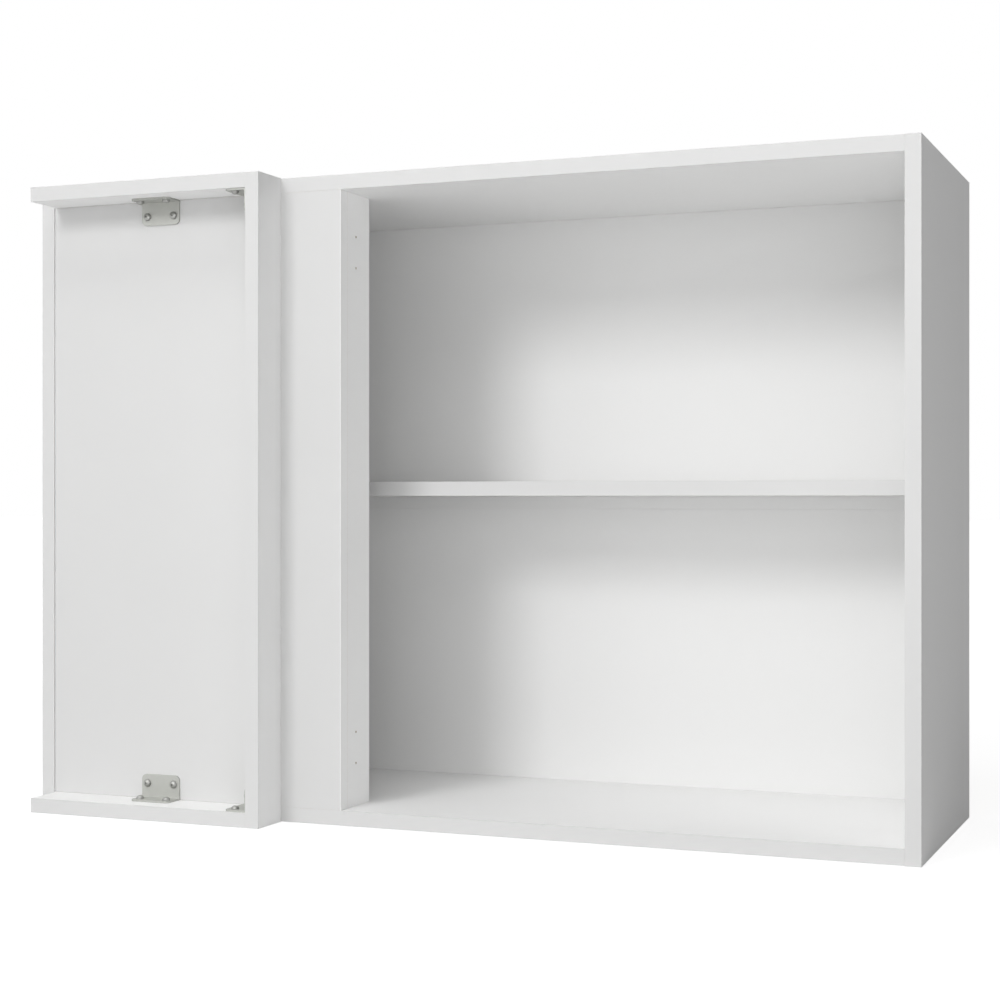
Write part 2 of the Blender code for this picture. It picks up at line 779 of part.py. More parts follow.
def carriage_shape(inner_face, inward):
    """Return a hanger carriage: a U-shaped slide with a guide window for the hook and two screw holes."""

    def at(x, y, z):
        return hanger_point(inner_face, inward, x, y, z)

    near = hanger_middle - carriage_width / 2
    outline = [
        (carriage_front, carriage_low), (guide_rear, carriage_low), (guide_rear, carriage_high),
        (guide_front, carriage_high), (guide_front, carriage_base_top),
        (carriage_upright_rear, carriage_base_top), (carriage_upright_rear, carriage_high),
        (carriage_front, carriage_high),
    ]
    shape = bmesh.new()
    add_prism(shape, [at(near, y, z) for y, z in outline], (inward * carriage_width, 0, 0))

    tool = bmesh.new()
    half_hook = hook_width / 2 + seat_gap
    add_box(
        tool,
        at(hanger_middle - half_hook, guide_front - cut_overshoot, arm_low - seat_gap),
        at(hanger_middle + half_hook, guide_rear + cut_overshoot, arm_high + seat_gap),
    )
    mouth = at(hanger_middle, carriage_front, depth_screw_z)
    add_bore(tool, mouth, (0, 1, 0), loose(adjuster_neck_diameter), carriage_upright + cut_overshoot)
    mouth = at(hanger_middle, lift_screw_y, carriage_low)
    add_bore(tool, mouth, (0, 0, 1), loose(adjuster_diameter), carriage_base + cut_overshoot)
    return carve(shape, tool)


def hook_shape(inner_face, inward):
    """Return a hanger hook: an arm with a threaded lug, a notch for the wall rail and a lip behind it."""

    def at(x, y, z):
        return hanger_point(inner_face, inward, x, y, z)

    outline = [
        (lug_front, lug_low), (lug_rear, lug_low), (lug_rear, arm_low), (rail_seat_front, arm_low),
        (rail_seat_front, rail_seat_high), (lip_front, rail_seat_high),
        (lip_front, lip_low), (lip_rear, lip_low), (lip_rear, arm_high), (lug_front, arm_high),
    ]
    shape = bmesh.new()
    near = hanger_middle - hook_width / 2
    add_prism(shape, [at(near, y, z) for y, z in outline], (inward * hook_width, 0, 0))
    bend_point = at(0, lip_rear, arm_high).yz
    bend = [
        edge for edge in shape.edges
        if all((vert.co.yz - bend_point).length < seat_gap for vert in edge.verts)
    ]
    bmesh.ops.bevel(
        shape, geom=bend, offset=hook_bend_radius, offset_type="OFFSET", segments=arc_steps, profile=0.5,
        affect="EDGES",
    )
    tool = bmesh.new()
    mouth = at(hanger_middle, lug_front, depth_screw_z)
    add_bore(tool, mouth, (0, 1, 0), loose(adjuster_diameter), hook_lug_thickness + cut_overshoot)
    return carve(shape, tool)


def add_hangers(frame, plastic, zinc, steel):
    """Add an adjustable hanger in each upper rear corner."""
    lift_screw = adjuster_mesh("lift_screw", hanger_wall, lift_screw_end)
    depth_screw = adjuster_mesh("depth_screw", carriage_upright, depth_screw_end - carriage_front)
    for side, inner_face, inward in (("left", left_inner, 1), ("right", right_inner, -1)):
        lift_axis = hanger_point(inner_face, inward, hanger_middle, lift_screw_y, 0)
        depth_axis = hanger_point(inner_face, inward, hanger_middle, carriage_front, depth_screw_z)
        base = hanger_point(inner_face, inward, 0, 0, 0)
        place_shape(f"hanger_housing_{side}", housing_shape(inner_face, inward), plastic, frame, base)
        place_shape(f"hanger_carriage_{side}", carriage_shape(inner_face, inward), zinc, frame, lift_axis)
        place_shape(f"hanger_hook_{side}", hook_shape(inner_face, inward), steel, frame, depth_axis)
        place(f"hanger_lift_screw_{side}", lift_screw, steel, frame, lift_axis, (0, 0, 1))
        place(f"hanger_depth_screw_{side}", depth_screw, steel, frame, depth_axis, (0, 1, 0))


def main():
    """Build the cabinet."""
    clear_scene()
    melamine = make_material("white_melamine", (0.80, 0.80, 0.80), 0.45)
    hardboard = make_material("white_hardboard", (0.80, 0.80, 0.79), 0.55)
    strip_plastic = make_material("white_strip_plastic", (0.80, 0.80, 0.80), 0.40)
    plastic = make_material("hanger_plastic", (0.78, 0.78, 0.76), 0.45)
    steel = make_material("zinc_plated_steel", (0.60, 0.61, 0.58), 0.35, 1.0)
    zinc = make_material("cast_zinc", (0.52, 0.52, 0.52), 0.45, 1.0)
    dowel_wood = make_material("beech_dowel", (0.62, 0.43, 0.25), 0.70)

    frame = link_object("carcass_frame", None)
    frame.location = (-cabinet_width / 2, carcass_front, 0)
    add_carcass(frame, melamine)
    add_back(frame, hardboard, strip_plastic)
    add_shelf(frame, melamine, steel)
    add_blind_front(frame, melamine, dowel_wood)
    add_filler_box(frame, melamine)
    add_brackets(frame, steel)
    add_cams(frame, zinc)
    add_hangers(frame, plastic, zinc, steel)
    bpy.context.view_layer.update()


main()
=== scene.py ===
"""Finished looks of an open blind-corner wall cabinet, laid out as an add-on.

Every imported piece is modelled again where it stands, with the detail of the real one: boards
with edging, glue lines and a chipboard core, a hardboard back lacquered on one side, pressed
brackets with cross-recess screws, cams, pins, fluted dowels and adjustable wall hangers.
Each operator makes one piece or one group of like pieces, and the last one sets the studio.
"""

import json
import math

import bmesh
import bpy
from bpy.props import FloatProperty, FloatVectorProperty, PointerProperty
from mathutils import Matrix, Vector


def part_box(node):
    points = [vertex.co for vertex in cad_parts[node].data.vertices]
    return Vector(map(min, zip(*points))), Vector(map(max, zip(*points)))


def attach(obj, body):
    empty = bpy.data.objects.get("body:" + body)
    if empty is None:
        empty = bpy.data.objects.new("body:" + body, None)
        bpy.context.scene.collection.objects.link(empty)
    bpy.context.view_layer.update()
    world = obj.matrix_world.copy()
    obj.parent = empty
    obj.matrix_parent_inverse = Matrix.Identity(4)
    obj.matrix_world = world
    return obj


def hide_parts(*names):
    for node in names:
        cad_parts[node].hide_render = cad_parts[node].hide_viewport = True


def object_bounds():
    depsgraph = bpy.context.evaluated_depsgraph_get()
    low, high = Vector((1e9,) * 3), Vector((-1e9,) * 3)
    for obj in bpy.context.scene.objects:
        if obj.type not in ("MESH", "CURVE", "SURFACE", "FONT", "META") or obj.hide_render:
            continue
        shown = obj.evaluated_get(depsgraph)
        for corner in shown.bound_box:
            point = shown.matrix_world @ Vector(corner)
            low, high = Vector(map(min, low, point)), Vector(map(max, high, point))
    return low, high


bl_info = {
    "name": "Corner Wall Cabinet",
    "version": (1, 0, 0),
    "blender": (4, 5, 0),
    "location": "3D View > Sidebar > Cabinet",
    "description": "Finishes the boards, fittings and hangers of a corner wall cabinet",
    "category": "Object",
}

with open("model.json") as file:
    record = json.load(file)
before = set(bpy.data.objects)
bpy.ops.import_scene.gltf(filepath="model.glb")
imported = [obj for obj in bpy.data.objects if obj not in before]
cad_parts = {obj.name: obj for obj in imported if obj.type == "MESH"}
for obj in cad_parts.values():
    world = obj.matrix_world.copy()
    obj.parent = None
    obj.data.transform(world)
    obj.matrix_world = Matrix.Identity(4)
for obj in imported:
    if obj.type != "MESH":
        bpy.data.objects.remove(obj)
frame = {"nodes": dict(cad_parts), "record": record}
cad_low, cad_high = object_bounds()
record = frame["record"]
body_of = {node: body for body, nodes in record["behaviour"]["bodies"].items() for node in nodes}
mount_at = {row["name"]: Vector(row["pos_m"]) for row in record["mounts"]}

ways = {
    "left": Vector((-1, 0, 0)),
    "right": Vector((1, 0, 0)),
    "front": Vector((0, -1, 0)),
    "rear": Vector((0, 1, 0)),
    "bottom": Vector((0, 0, -1)),
    "top": Vector((0, 0, 1)),
}

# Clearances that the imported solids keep
seat_gap = 0.0003
bore_clearance = 0.0003
bore_end_clearance = 0.0005
cut_overshoot = 0.002

# Gloss of matt white foil and lacquer
matt_gloss = 0.18

# Finish numbers of a board's faces
face_finish, edging_finish, glue_finish, core_finish, end_finish = range(5)

# Places of two like bores, in shares of their pitch
pair_steps = (-0.5, 0.5)

# Roundness
round_sides = 32
bend_steps = 8
crown_steps = 8
rim_steps = 2
thread_steps = 16

# Half width of a thread's root, as a share of its pitch
thread_share = 0.42

# Angles and distances by which edges, faces and points are told apart
sharp_angle = math.radians(20)
crease_angle = math.radians(40)
flat_angle = math.radians(1)
facing_share = 0.5
touch_distance = 0.0003
weld_distance = 1e-6
bisect_distance = 1e-7

# Bores and their fittings
pin_bore = 0.0056
peg_bore = 0.0106
peg_pitch = 0.030
peg_below_top = 0.0075
cam_bore = 0.0156
dowel_bore = 0.0086
screw_bore = 0.0040
hinge_bore = 0.0025
hinge_bore_depth = 0.011
hinge_bore_pitch = 0.034

# Shadow groove along the blind panel's left edge
shadow_groove_width = 0.0022
shadow_groove_depth = 0.002

# Shelf pin, from its end in the board to its nose
pin_shank = 0.0025
pin_collar = 0.0045
pin_collar_thickness = 0.0012
pin_nose = 0.0030
pin_nose_length = 0.008
pin_round = 0.0005

# Dowel
dowel_radius = 0.004
dowel_chamfer = 0.0008
dowel_flutes = 12
flute_radius = 0.0006

# Angle bracket
bracket_places = ("top_mid", "bottom_mid", "top_end", "bottom_end")
bracket_thickness = 0.002
bracket_bend = 0.0025
bracket_corner = 0.0055
bracket_hole = 0.0042
bracket_hole_setback = 0.017
bracket_hole_pitch = 0.0335

# Taper of a cross recess, whose own values are span, width and depth
recess_taper = 0.45

# Pan head screw, whose head is painted darker past the flank's radius, as painted shade in a ring
# around the head
screw_radius = 0.0018
screw_core = 0.0013
screw_length = 0.013
screw_tip = 0.003
screw_pitch = 0.0014
screw_head = 0.0043
screw_head_height = 0.0038
screw_head_rim = 0.0006
shaded_flank_radius = 0.0034
screw_recess = (0.0044, 0.0011, 0.0017)
screw_turn = math.radians(37)

# Cam
cam_radius = 0.0075
cam_height = 0.0125
cam_rim = 0.0004
cam_recess = (0.0076, 0.0016, 0.002)
cam_waist = 0.0062
cam_waist_low = 0.0035
cam_waist_high = 0.0085

# Hanger
adjuster_radius = 0.0025
adjuster_core = 0.0020
adjuster_pitch = 0.002
adjuster_neck = 0.002
adjuster_collar = 0.0035
adjuster_collar_height = 0.0012
adjuster_head = 0.0045
adjuster_head_height = 0.003
adjuster_recess = (0.0062, 0.0012, 0.0018)
lift_plate = 0.002
depth_plate = 0.005
housing_panel_margin = 0.003
housing_panel_depth = 0.0006

# Floor, with the distances between which it fades to white
floor_reach = 30.0
floor_below = 0.0004
floor_glow = 0.88
floor_shadow = 0.35
fade_start = 0.9
fade_end = 2.2

# Camera and the point that the lamps face
sensor_width = 0.036
camera_place = (0.8094, -1.96335, 0.350)
camera_turn = math.radians(22.042)
lamp_target = Vector((0, -0.1, 0.35))


def length(name, description, default):
    """Return a property for a length in metres."""
    return FloatProperty(
        name=name, description=description, default=default, min=0.0, precision=6, unit="LENGTH",
        subtype="DISTANCE",
    )


def colour(name, description, default):
    """Return a property for a linear colour."""
    return FloatVectorProperty(
        name=name, description=description, default=default, size=3, min=0.0, max=1.0, subtype="COLOR",
    )


def strength(name, description, default):
    """Return a property for the strength of a light."""
    return FloatProperty(name=name, description=description, default=default, min=0.0)


class BoardSettings(bpy.types.PropertyGroup):
    """Sizes and colours of the boards and the back."""

    edge_radius: length("Edge radius", "Rounding of each board edge", 0.0002)
    edging: length("Edging", "Thickness of the band on a finished edge", 0.0008)
    glue_line: length("Glue line", "Width of the line between a face and its edging", 0.00005)
    joint_gap: length("Joint gap", "Air left between two boards that meet", 0.00003)
    sheet_radius: length("Sheet radius", "Rounding of the back sheets and their strip", 0.0002)
    face: colour("Face", "Melamine foil on the faces", (0.94, 0.94, 0.936))
    # Front and Band are the face white painted darker: painted shade on the blind panel's front foil
    # and on the front edging
    front: colour("Front", "Melamine foil on the blind panel", (0.713, 0.713, 0.710))
    band: colour("Band", "Edging on the front edges", (0.713, 0.713, 0.710))
    glue: colour("Glue", "Glue line beside the edging", (0.46, 0.45, 0.43))
    core: colour("Core", "Chipboard inside the boards", (0.50, 0.36, 0.21))
    lacquer: colour("Lacquer", "Lacquered front of the back", (0.90, 0.90, 0.896))
    hardboard: colour("Hardboard", "Raw rear of the back", (0.27, 0.155, 0.078))
    strip: colour("Strip", "Plastic strip between the back sheets", (0.88, 0.88, 0.876))


class FittingSettings(bpy.types.PropertyGroup):
    """Sizes and colours of the metal, wood and plastic fittings."""

    rim: length("Rim", "Rounding of sharp edges on small fittings", 0.00025)
    moulded_rim: length("Moulded rim", "Rounding of the moulded hanger housing", 0.0005)
    bracket: colour("Bracket", "Zinc-plated pressed steel", (0.52, 0.525, 0.50))
    screw: colour("Screw", "Zinc-plated screws", (0.41, 0.414, 0.395))
    # Flank is the screws' zinc painted darker: painted shade in a ring around each head
    flank: colour("Flank", "Thinly plated flank of the screw heads", (0.36, 0.36, 0.35))
    pin: colour("Pin", "Nickel-plated shelf pins", (0.66, 0.65, 0.62))
    cam: colour("Cam", "Bare die-cast zinc", (0.52, 0.52, 0.52))
    hook: colour("Hook", "Zinc-plated hooks and adjusters", (0.58, 0.585, 0.565))
    beech: colour("Beech", "Bare beech dowels", (0.60, 0.41, 0.235))
    plastic: colour("Plastic", "Moulded hanger housing", (0.78, 0.78, 0.765))


class StudioSettings(bpy.types.PropertyGroup):
    """Camera, lamps and floor."""

    lens: length("Lens", "Focal length on a 36 mm sensor", 0.068652)
    front_glow: strength("Front glow", "Light of the surroundings from the front", 0.45)
    left_glow: strength("Left glow", "Light of the surroundings from the left", 1.45)
    key: strength("Key", "Watts of the lamp at the front, left and above", 43.8)
    broad: strength("Broad", "Watts of the wide lamp in front", 9.1)
    low_fill: strength("Low fill", "Watts of the low lamp at the right", 11.8)
    overhead: strength("Overhead", "Watts of the lamp high in front", 23.7)
    floor: colour("Floor", "Pale floor", (0.90, 0.90, 0.90))


class Socket:
    """A node's output in a finish, on which arithmetic adds Math nodes."""

    def __init__(self, finish, output):
        self.finish = finish
        self.output = output

    def math(self, operation, first, second):
        """Return the result of a Math node."""
        return self.finish.node("ShaderNodeMath", {"operation": operation}, {0: first, 1: second})

    def __add__(self, other):
        return self.math("ADD", self, other)

    def __radd__(self, other):
        return self.math("ADD", other, self)

    def __sub__(self, other):
        return self.math("SUBTRACT", self, other)

    def __rsub__(self, other):
        return self.math("SUBTRACT", other, self)

    def __mul__(self, other):
        return self.math("MULTIPLY", self, other)

    def __rmul__(self, other):
        return self.math("MULTIPLY", other, self)

    def __pow__(self, other):
        return self.math("POWER", self, other)

    def __gt__(self, other):
        return self.math("GREATER_THAN", self, other)


class Finish:
    """A node tree in the making, such as a material on Object coordinates."""

    def __init__(self, tree):
        self.tree = tree

    def node(self, kind, settings=None, sockets=None, output=0):
        """Add a node, set it up, feed its sockets and return one of its outputs."""
        made = self.tree.nodes.new(kind)
        for key, value in (settings or {}).items():
            if key == "stops":
                self.set_stops(made.color_ramp, value)
            else:
                setattr(made, key, value)
        for key, value in (sockets or {}).items():
            self.feed(made.inputs[key], value)
        return Socket(self, made.outputs[output]) if made.outputs else None

    def feed(self, target, value):
        """Link a socket to a target, or set the target's own value."""
        if isinstance(value, Socket):
            self.tree.links.new(value.output, target)
        else:
            target.default_value = value

    def set_stops(self, ramp, stops):
        """Give a colour ramp its stops, each a place and a colour."""
        while len(ramp.elements) < len(stops):
            ramp.elements.new(1.0)
        for element, (place, tint) in zip(ramp.elements, stops):
            element.position = place
            element.color = tint

    def place(self, grain, stretch=(1, 1, 1)):
        """Return Object coordinates in which one unit is the grain's length along each axis."""
        here = self.node("ShaderNodeTexCoord", output="Object")
        scale = [1 / (grain * axis) for axis in stretch]
        return self.node("ShaderNodeMapping", None, {"Vector": here, "Scale": scale})

    def noise(self, grain, stretch=(1, 1, 1), detail=2.0):
        """Return noise from 0 to 1, with grains of about this length."""
        where = self.place(grain, stretch)
        return self.node("ShaderNodeTexNoise", None, {"Vector": where, "Scale": 1.0, "Detail": detail})

    def mix(self, factor, first, second):
        """Return a mix of two colours."""
        return self.node("ShaderNodeMix", {"data_type": "RGBA"}, {0: factor, 6: first, 7: second}, 2)

    def bump(self, height, depth):
        """Return the normal of a relief that is this deep."""
        return self.node("ShaderNodeBump", None, {"Height": height, "Distance": depth})


def tint(base, share=1.0):
    """Return a colour as a shader's RGBA value, brighter or darker by a share."""
    return (*(min(1.0, channel * share) for channel in base), 1.0)


def melamine(finish, base):
    """White melamine foil: a fine pearl relief with a breath of cloudiness."""
    pearl = finish.noise(0.00045, detail=3.0)
    cloud = finish.noise(0.09)
    return {
        "Base Color": finish.mix(cloud, tint(base, 0.985), tint(base, 1.01)),
        "Roughness": 0.50 + 0.12 * pearl,
        "Specular IOR Level": matt_gloss,
        "Normal": finish.bump(pearl, 0.000012),
    }


def edging(finish, base):
    """Plastic edging: smoother than the faces, with faint milling marks."""
    grain = finish.noise(0.00035)
    cloud = finish.noise(0.05)
    return {
        "Base Color": finish.mix(cloud, tint(base, 0.988), tint(base, 1.008)),
        "Roughness": 0.46 + 0.10 * grain,
        "Specular IOR Level": matt_gloss,
        "Normal": finish.bump(grain, 0.000008),
    }


def glue_line(finish, base):
    """Thin line of glue and foil edge beside the edging."""
    specks = finish.noise(0.002, detail=3.0)
    return {
        "Base Color": finish.mix(specks, tint(base, 0.8), tint(base, 1.25)),
        "Roughness": 0.5 + 0.2 * specks,
    }


def chipboard_core(finish, base):
    """Pressed chips of unlike tones, with dust between them."""
    chips = {"Vector": finish.place(0.0011), "Scale": 1.0}
    cells = finish.node("ShaderNodeTexVoronoi", None, chips, "Color")
    chip = finish.node("ShaderNodeSeparateColor", None, {"Color": cells}, "Red")
    stops = ((0.0, tint(base, 0.45)), (0.35, tint(base, 0.85)), (1.0, tint(base, 1.45)))
    wood = finish.node("ShaderNodeValToRGB", {"stops": stops}, {"Fac": chip})
    dust = finish.noise(0.0004, detail=3.0)
    return {
        "Base Color": finish.mix(0.45 * dust, wood, tint(base, 0.6)),
        "Roughness": 0.78 + 0.15 * dust,
        "Normal": finish.bump(0.6 * chip + 0.4 * dust, 0.00012),
    }


def lacquered_hardboard(finish, base):
    """White lacquer rolled onto hardboard: a soft orange-peel over fine fibres."""
    peel = finish.noise(0.0016)
    fibre = finish.noise(0.0006, (3, 1, 1), 3.0)
    return {
        "Base Color": finish.mix(fibre, tint(base, 0.985), tint(base, 1.008)),
        "Roughness": 0.54 + 0.12 * peel,
        "Specular IOR Level": matt_gloss,
        "Normal": finish.bump(0.7 * peel + 0.3 * fibre, 0.000012),
    }


def raw_hardboard(finish, base):
    """Brown pressed fibre with the woven mark of the press screen."""
    fibre = finish.noise(0.0007, (4, 1, 1), 4.0)
    blotch = finish.noise(0.03, detail=3.0)
    weave = {"Vector": finish.place(0.0018), "Scale": 1.0, "Randomness": 0.12}
    screen = finish.node("ShaderNodeTexVoronoi", None, weave)
    tone = 0.55 * fibre + 0.45 * blotch
    return {
        "Base Color": finish.mix(tone, tint(base, 0.62), tint(base, 1.4)),
        "Roughness": 0.66 + 0.2 * fibre,
        "Normal": finish.bump(0.5 * screen + 0.5 * fibre, 0.00012),
    }


def strip_plastic(finish, base):
    """Extruded white plastic, with faint lines along its length."""
    lines = finish.noise(0.0005, (60, 1, 1))
    return {
        "Base Color": finish.mix(lines, tint(base, 0.985), tint(base, 1.01)),
        "Roughness": 0.34 + 0.1 * lines,
        "Normal": finish.bump(lines, 0.000006),
    }


def metal(roughness, cloud=0.006, grain=0.0005, relief=0.000006):
    """Return the finish of a plated or cast metal: clouds in the plating over a fine grain."""

    def sockets(finish, base):
        plating = finish.noise(cloud, detail=3.0)
        specks = finish.noise(grain, detail=3.0)
        return {
            "Base Color": finish.mix(plating, tint(base, 0.92), tint(base, 1.06)),
            "Metallic": 1.0,
            "Roughness": roughness - 0.07 + 0.1 * plating + 0.06 * specks,
            "Normal": finish.bump(specks, relief),
        }

    return sockets


def beech_wood(finish, base):
    """Bare beech, with its grain along the dowel and short dark flecks."""
    grain = finish.noise(0.0009, (1, 1, 16), 3.0)
    flecks = finish.noise(0.0004, (1, 1, 5)) > 0.64
    wood = finish.mix(grain, tint(base, 0.78), tint(base, 1.2))
    return {
        "Base Color": finish.mix(0.55 * flecks, wood, tint(base, 0.5)),
        "Roughness": 0.58 + 0.2 * grain,
        "Normal": finish.bump(grain, 0.00005),
    }


def moulded_plastic(finish, base):
    """White moulded plastic with a fine spark-eroded texture."""
    spark = finish.noise(0.0003, detail=3.0)
    flow = finish.noise(0.02)
    return {
        "Base Color": finish.mix(flow, tint(base, 0.97), tint(base, 1.02)),
        "Roughness": 0.42 + 0.14 * spark,
        "Normal": finish.bump(spark, 0.00002),
    }


# Materials: the settings and name of each one's colour, and the function that feeds its shader
materials = {
    "face_melamine": ("boards", "face", melamine),
    # The shaded front foil and edging are the face white painted darker, as painted shade on
    # front-facing surfaces
    "front_melamine": ("boards", "front", melamine),
    "front_edging": ("boards", "band", edging),
    "end_edging": ("boards", "face", edging),
    "glue_line": ("boards", "glue", glue_line),
    "chipboard_core": ("boards", "core", chipboard_core),
    "lacquered_hardboard": ("boards", "lacquer", lacquered_hardboard),
    "raw_hardboard": ("boards", "hardboard", raw_hardboard),
    "strip_plastic": ("boards", "strip", strip_plastic),
    "bracket_zinc_plate": ("fittings", "bracket", metal(0.66)),
    "screw_zinc_plate": ("fittings", "screw", metal(0.52, cloud=0.003, grain=0.0003)),
    "flank_zinc_plate": ("fittings", "flank", metal(0.52, cloud=0.003, grain=0.0003)),
    "pin_nickel_plate": ("fittings", "pin", metal(0.20, cloud=0.004, grain=0.0003, relief=0.000003)),
    "cast_zinc": ("fittings", "cam", metal(0.46, cloud=0.004, grain=0.0004, relief=0.00002)),
    "hook_zinc_plate": ("fittings", "hook", metal(0.34)),
    "beech_wood": ("fittings", "beech", beech_wood),
    "moulded_plastic": ("fittings", "plastic", moulded_plastic),
}


def material(name):
    """Return one of the materials, made at its first use."""
    made = bpy.data.materials.get(name)
    if made is None:
        group, setting, sockets = materials[name]
        base = getattr(getattr(bpy.context.scene, f"cabinet_{group}"), setting)
        made = bpy.data.materials.new(name)
        made.use_nodes = True
        shader = made.node_tree.nodes["Principled BSDF"]
        finish = Finish(made.node_tree)
        for key, value in sockets(finish, base).items():
            finish.feed(shader.inputs[key], value)
    return made


def board_finishes(node):
    """Return the finishes of a board, in the order of their numbers."""
    # The blind panel's foil is painted darker than the other boards' foil, as painted shade on its
    # front
    foil = "front_melamine" if node == "blind_panel" else "face_melamine"
    names = (foil, "front_edging", "glue_line", "chipboard_core", "end_edging")
    return [material(name) for name in names]


def mesh_of(shape, name, finishes):
    """Turn a bmesh into a mesh with these finishes and its faces pointing out."""
    bmesh.ops.recalc_face_normals(shape, faces=shape.faces)
    mesh = bpy.data.meshes.new(name)
    shape.to_mesh(mesh)
    shape.free()
    for finish in finishes:
        mesh.materials.append(finish)
    return mesh


def link_object(name, data):
    """Return a new object of a mesh, a lamp or a camera, linked to the scene."""
    made = bpy.data.objects.new(name, data)
    bpy.context.scene.collection.objects.link(made)
    return made


def add_piece(node, mesh):
    """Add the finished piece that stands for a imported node, on the node's own body."""
    mesh.shade_smooth()
    mesh.set_sharp_from_angle(angle=sharp_angle)
    piece = link_object(f"{node}_finished", mesh)
    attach(piece, body_of[node])
    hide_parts(node)


def carve(shape, tool, finishes, operation="DIFFERENCE"):
    """Return a shape after a Boolean with a tool. Both are used up."""
    body = link_object("carve_body", mesh_of(shape, "carve_body", finishes))
    cutter = link_object("carve_tool", mesh_of(tool, "carve_tool", finishes))
    modifier = body.modifiers.new("carve", "BOOLEAN")
    modifier.operation = operation
    modifier.solver = "EXACT"
    modifier.object = cutter
    carved = bmesh.new()
    carved.from_object(body, bpy.context.evaluated_depsgraph_get())
    for used in (body, cutter):
        mesh = used.data
        bpy.data.objects.remove(used)
        bpy.data.meshes.remove(mesh)
    return carved


def paint(shape, number):
    """Give every face of a shape one finish number."""
    for face in shape.faces:
        face.material_index = number


def round_edges(shape, edges, radius, steps=rim_steps, clamped=False):
    """Round edges of a shape, by less than the radius where they are clamped and lie close."""
    bmesh.ops.bevel(
        shape, geom=edges, offset=radius, offset_type="OFFSET", segments=steps, profile=0.5,
        affect="EDGES", clamp_overlap=clamped, material=-1,
    )


def soften(shape, radius):
    """Round the sharp edges of a shape."""
    sharp = [
        edge for edge in shape.edges
        if len(edge.link_faces) == 2 and edge.calc_face_angle() > crease_angle
    ]
    round_edges(shape, sharp, radius, clamped=True)


def only(items, kind):
    """Return the items of one kind, such as edges, from an operator's result."""
    return [item for item in items if isinstance(item, kind)]


def add_box(shape, low, high):
    """Add a box between its lowest and highest corners."""
    scale = Matrix.Diagonal((*(high - low), 1.0))
    bmesh.ops.create_cube(shape, size=1.0, matrix=Matrix.Translation((low + high) / 2) @ scale)


def add_bore(shape, start, way, diameter, depth):
    """Add a round bore's tool, which begins a little before its start."""
    middle = start + way * (depth - cut_overshoot) / 2
    bmesh.ops.create_cone(
        shape, cap_ends=True, segments=round_sides, radius1=diameter / 2, radius2=diameter / 2,
        depth=depth + cut_overshoot, matrix=aim(middle, way),
    )


def turned(profile, sides=round_sides):
    """Return a solid turned about Z from radius and height points that start and end on the axis."""
    shape = bmesh.new()
    verts = [shape.verts.new((radius, 0.0, height)) for radius, height in profile]
    edges = [shape.edges.new(pair) for pair in zip(verts, verts[1:])]
    bmesh.ops.spin(
        shape, geom=verts + edges, cent=(0, 0, 0), axis=(0, 0, 1), angle=2 * math.pi, steps=sides,
        use_merge=True,
    )
    bmesh.ops.remove_doubles(shape, verts=shape.verts, dist=weld_distance)
    return shape


def quarter(steps):
    """Return the angles of a quarter turn in steps."""
    return [math.pi / 2 * step / steps for step in range(steps + 1)]


def rounded_end(radius, height, rounding, step):
    """Return the profile points of a rounded rim, at the top for a step of 1, at the bottom for -1."""
    return [(
        radius - rounding + rounding * math.cos(angle),
        height - step * rounding + step * rounding * math.sin(angle),
    ) for angle in quarter(bend_steps)]


def add_thread(shape, finishes, core, outer, pitch, low, high):
    """Return a turned shape with a screw thread joined to its shank."""
    ridge = bmesh.new()
    root = core - (outer - core)
    half = pitch * thread_share
    corners = [(root, low - half), (outer, low), (root, low + half)]
    ridge.faces.new([ridge.verts.new((radius, 0, height)) for radius, height in corners])
    turns = (high - low) / pitch
    steps = round(turns * thread_steps)
    bmesh.ops.spin(
        ridge, geom=ridge.verts[:] + ridge.edges[:] + ridge.faces[:], cent=(0, 0, 0), axis=(0, 0, 1),
        angle=2 * math.pi * turns, steps=steps, dvec=(0, 0, (high - low) / steps),
    )
    return carve(shape, ridge, finishes, "UNION")


def cut_cross(shape, finishes, recess, height, step):
    """Return a shape with a tapered cross recess, cut from a height on Z, down for a step of 1."""
    span, width, depth = recess
    for angle in (0, math.pi / 2):
        tool = bmesh.new()
        size = Vector((span, width, depth + cut_overshoot))
        add_box(tool, -size / 2, size / 2)
        tip = [vert for vert in tool.verts if vert.co.z < 0]
        bmesh.ops.scale(tool, vec=(recess_taper, recess_taper, 1), verts=tip)
        turn = Matrix.Rotation(angle, 4, "Z") @ Matrix.Diagonal((1, 1, step, 1))
        middle = Matrix.Translation((0, 0, height + step * (cut_overshoot - depth) / 2))
        bmesh.ops.transform(tool, matrix=middle @ turn, verts=tool.verts)
        shape = carve(shape, tool, finishes)
    return shape


def aim(origin, way, roll=0.0):
    """Return the transform that puts a local origin at a point and local Z along a way."""
    turn = way.to_track_quat("Z", "Y").to_matrix().to_4x4()
    return Matrix.Translation(origin) @ turn @ Matrix.Rotation(roll, 4, "Z")


def placed(mesh, matrix):
    """Return a copy of a local mesh with its place in its points."""
    copy = mesh.copy()
    copy.transform(matrix)
    return copy


def end_of(node, way):
    """Return the middle of a node's box, moved to the box's end in one direction."""
    low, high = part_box(node)
    point = (low + high) / 2
    for axis in range(3):
        if way[axis]:
            point[axis] = high[axis] if way[axis] > 0 else low[axis]
    return point


def cad_copy(node):
    """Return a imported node's shape with its loose triangles merged into flat faces."""
    shape = bmesh.new()
    shape.from_mesh(frame["nodes"][node].data)
    bmesh.ops.remove_doubles(shape, verts=shape.verts, dist=weld_distance)
    bmesh.ops.dissolve_limit(shape, angle_limit=flat_angle, verts=shape.verts, edges=shape.edges)
    paint(shape, 0)
    return shape


def add_softened(node, radius, finish):
    """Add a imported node's own shape in one finish, with its sharp edges rounded."""
    shape = cad_copy(node)
    soften(shape, radius)
    add_piece(node, mesh_of(shape, node, [material(finish)]))


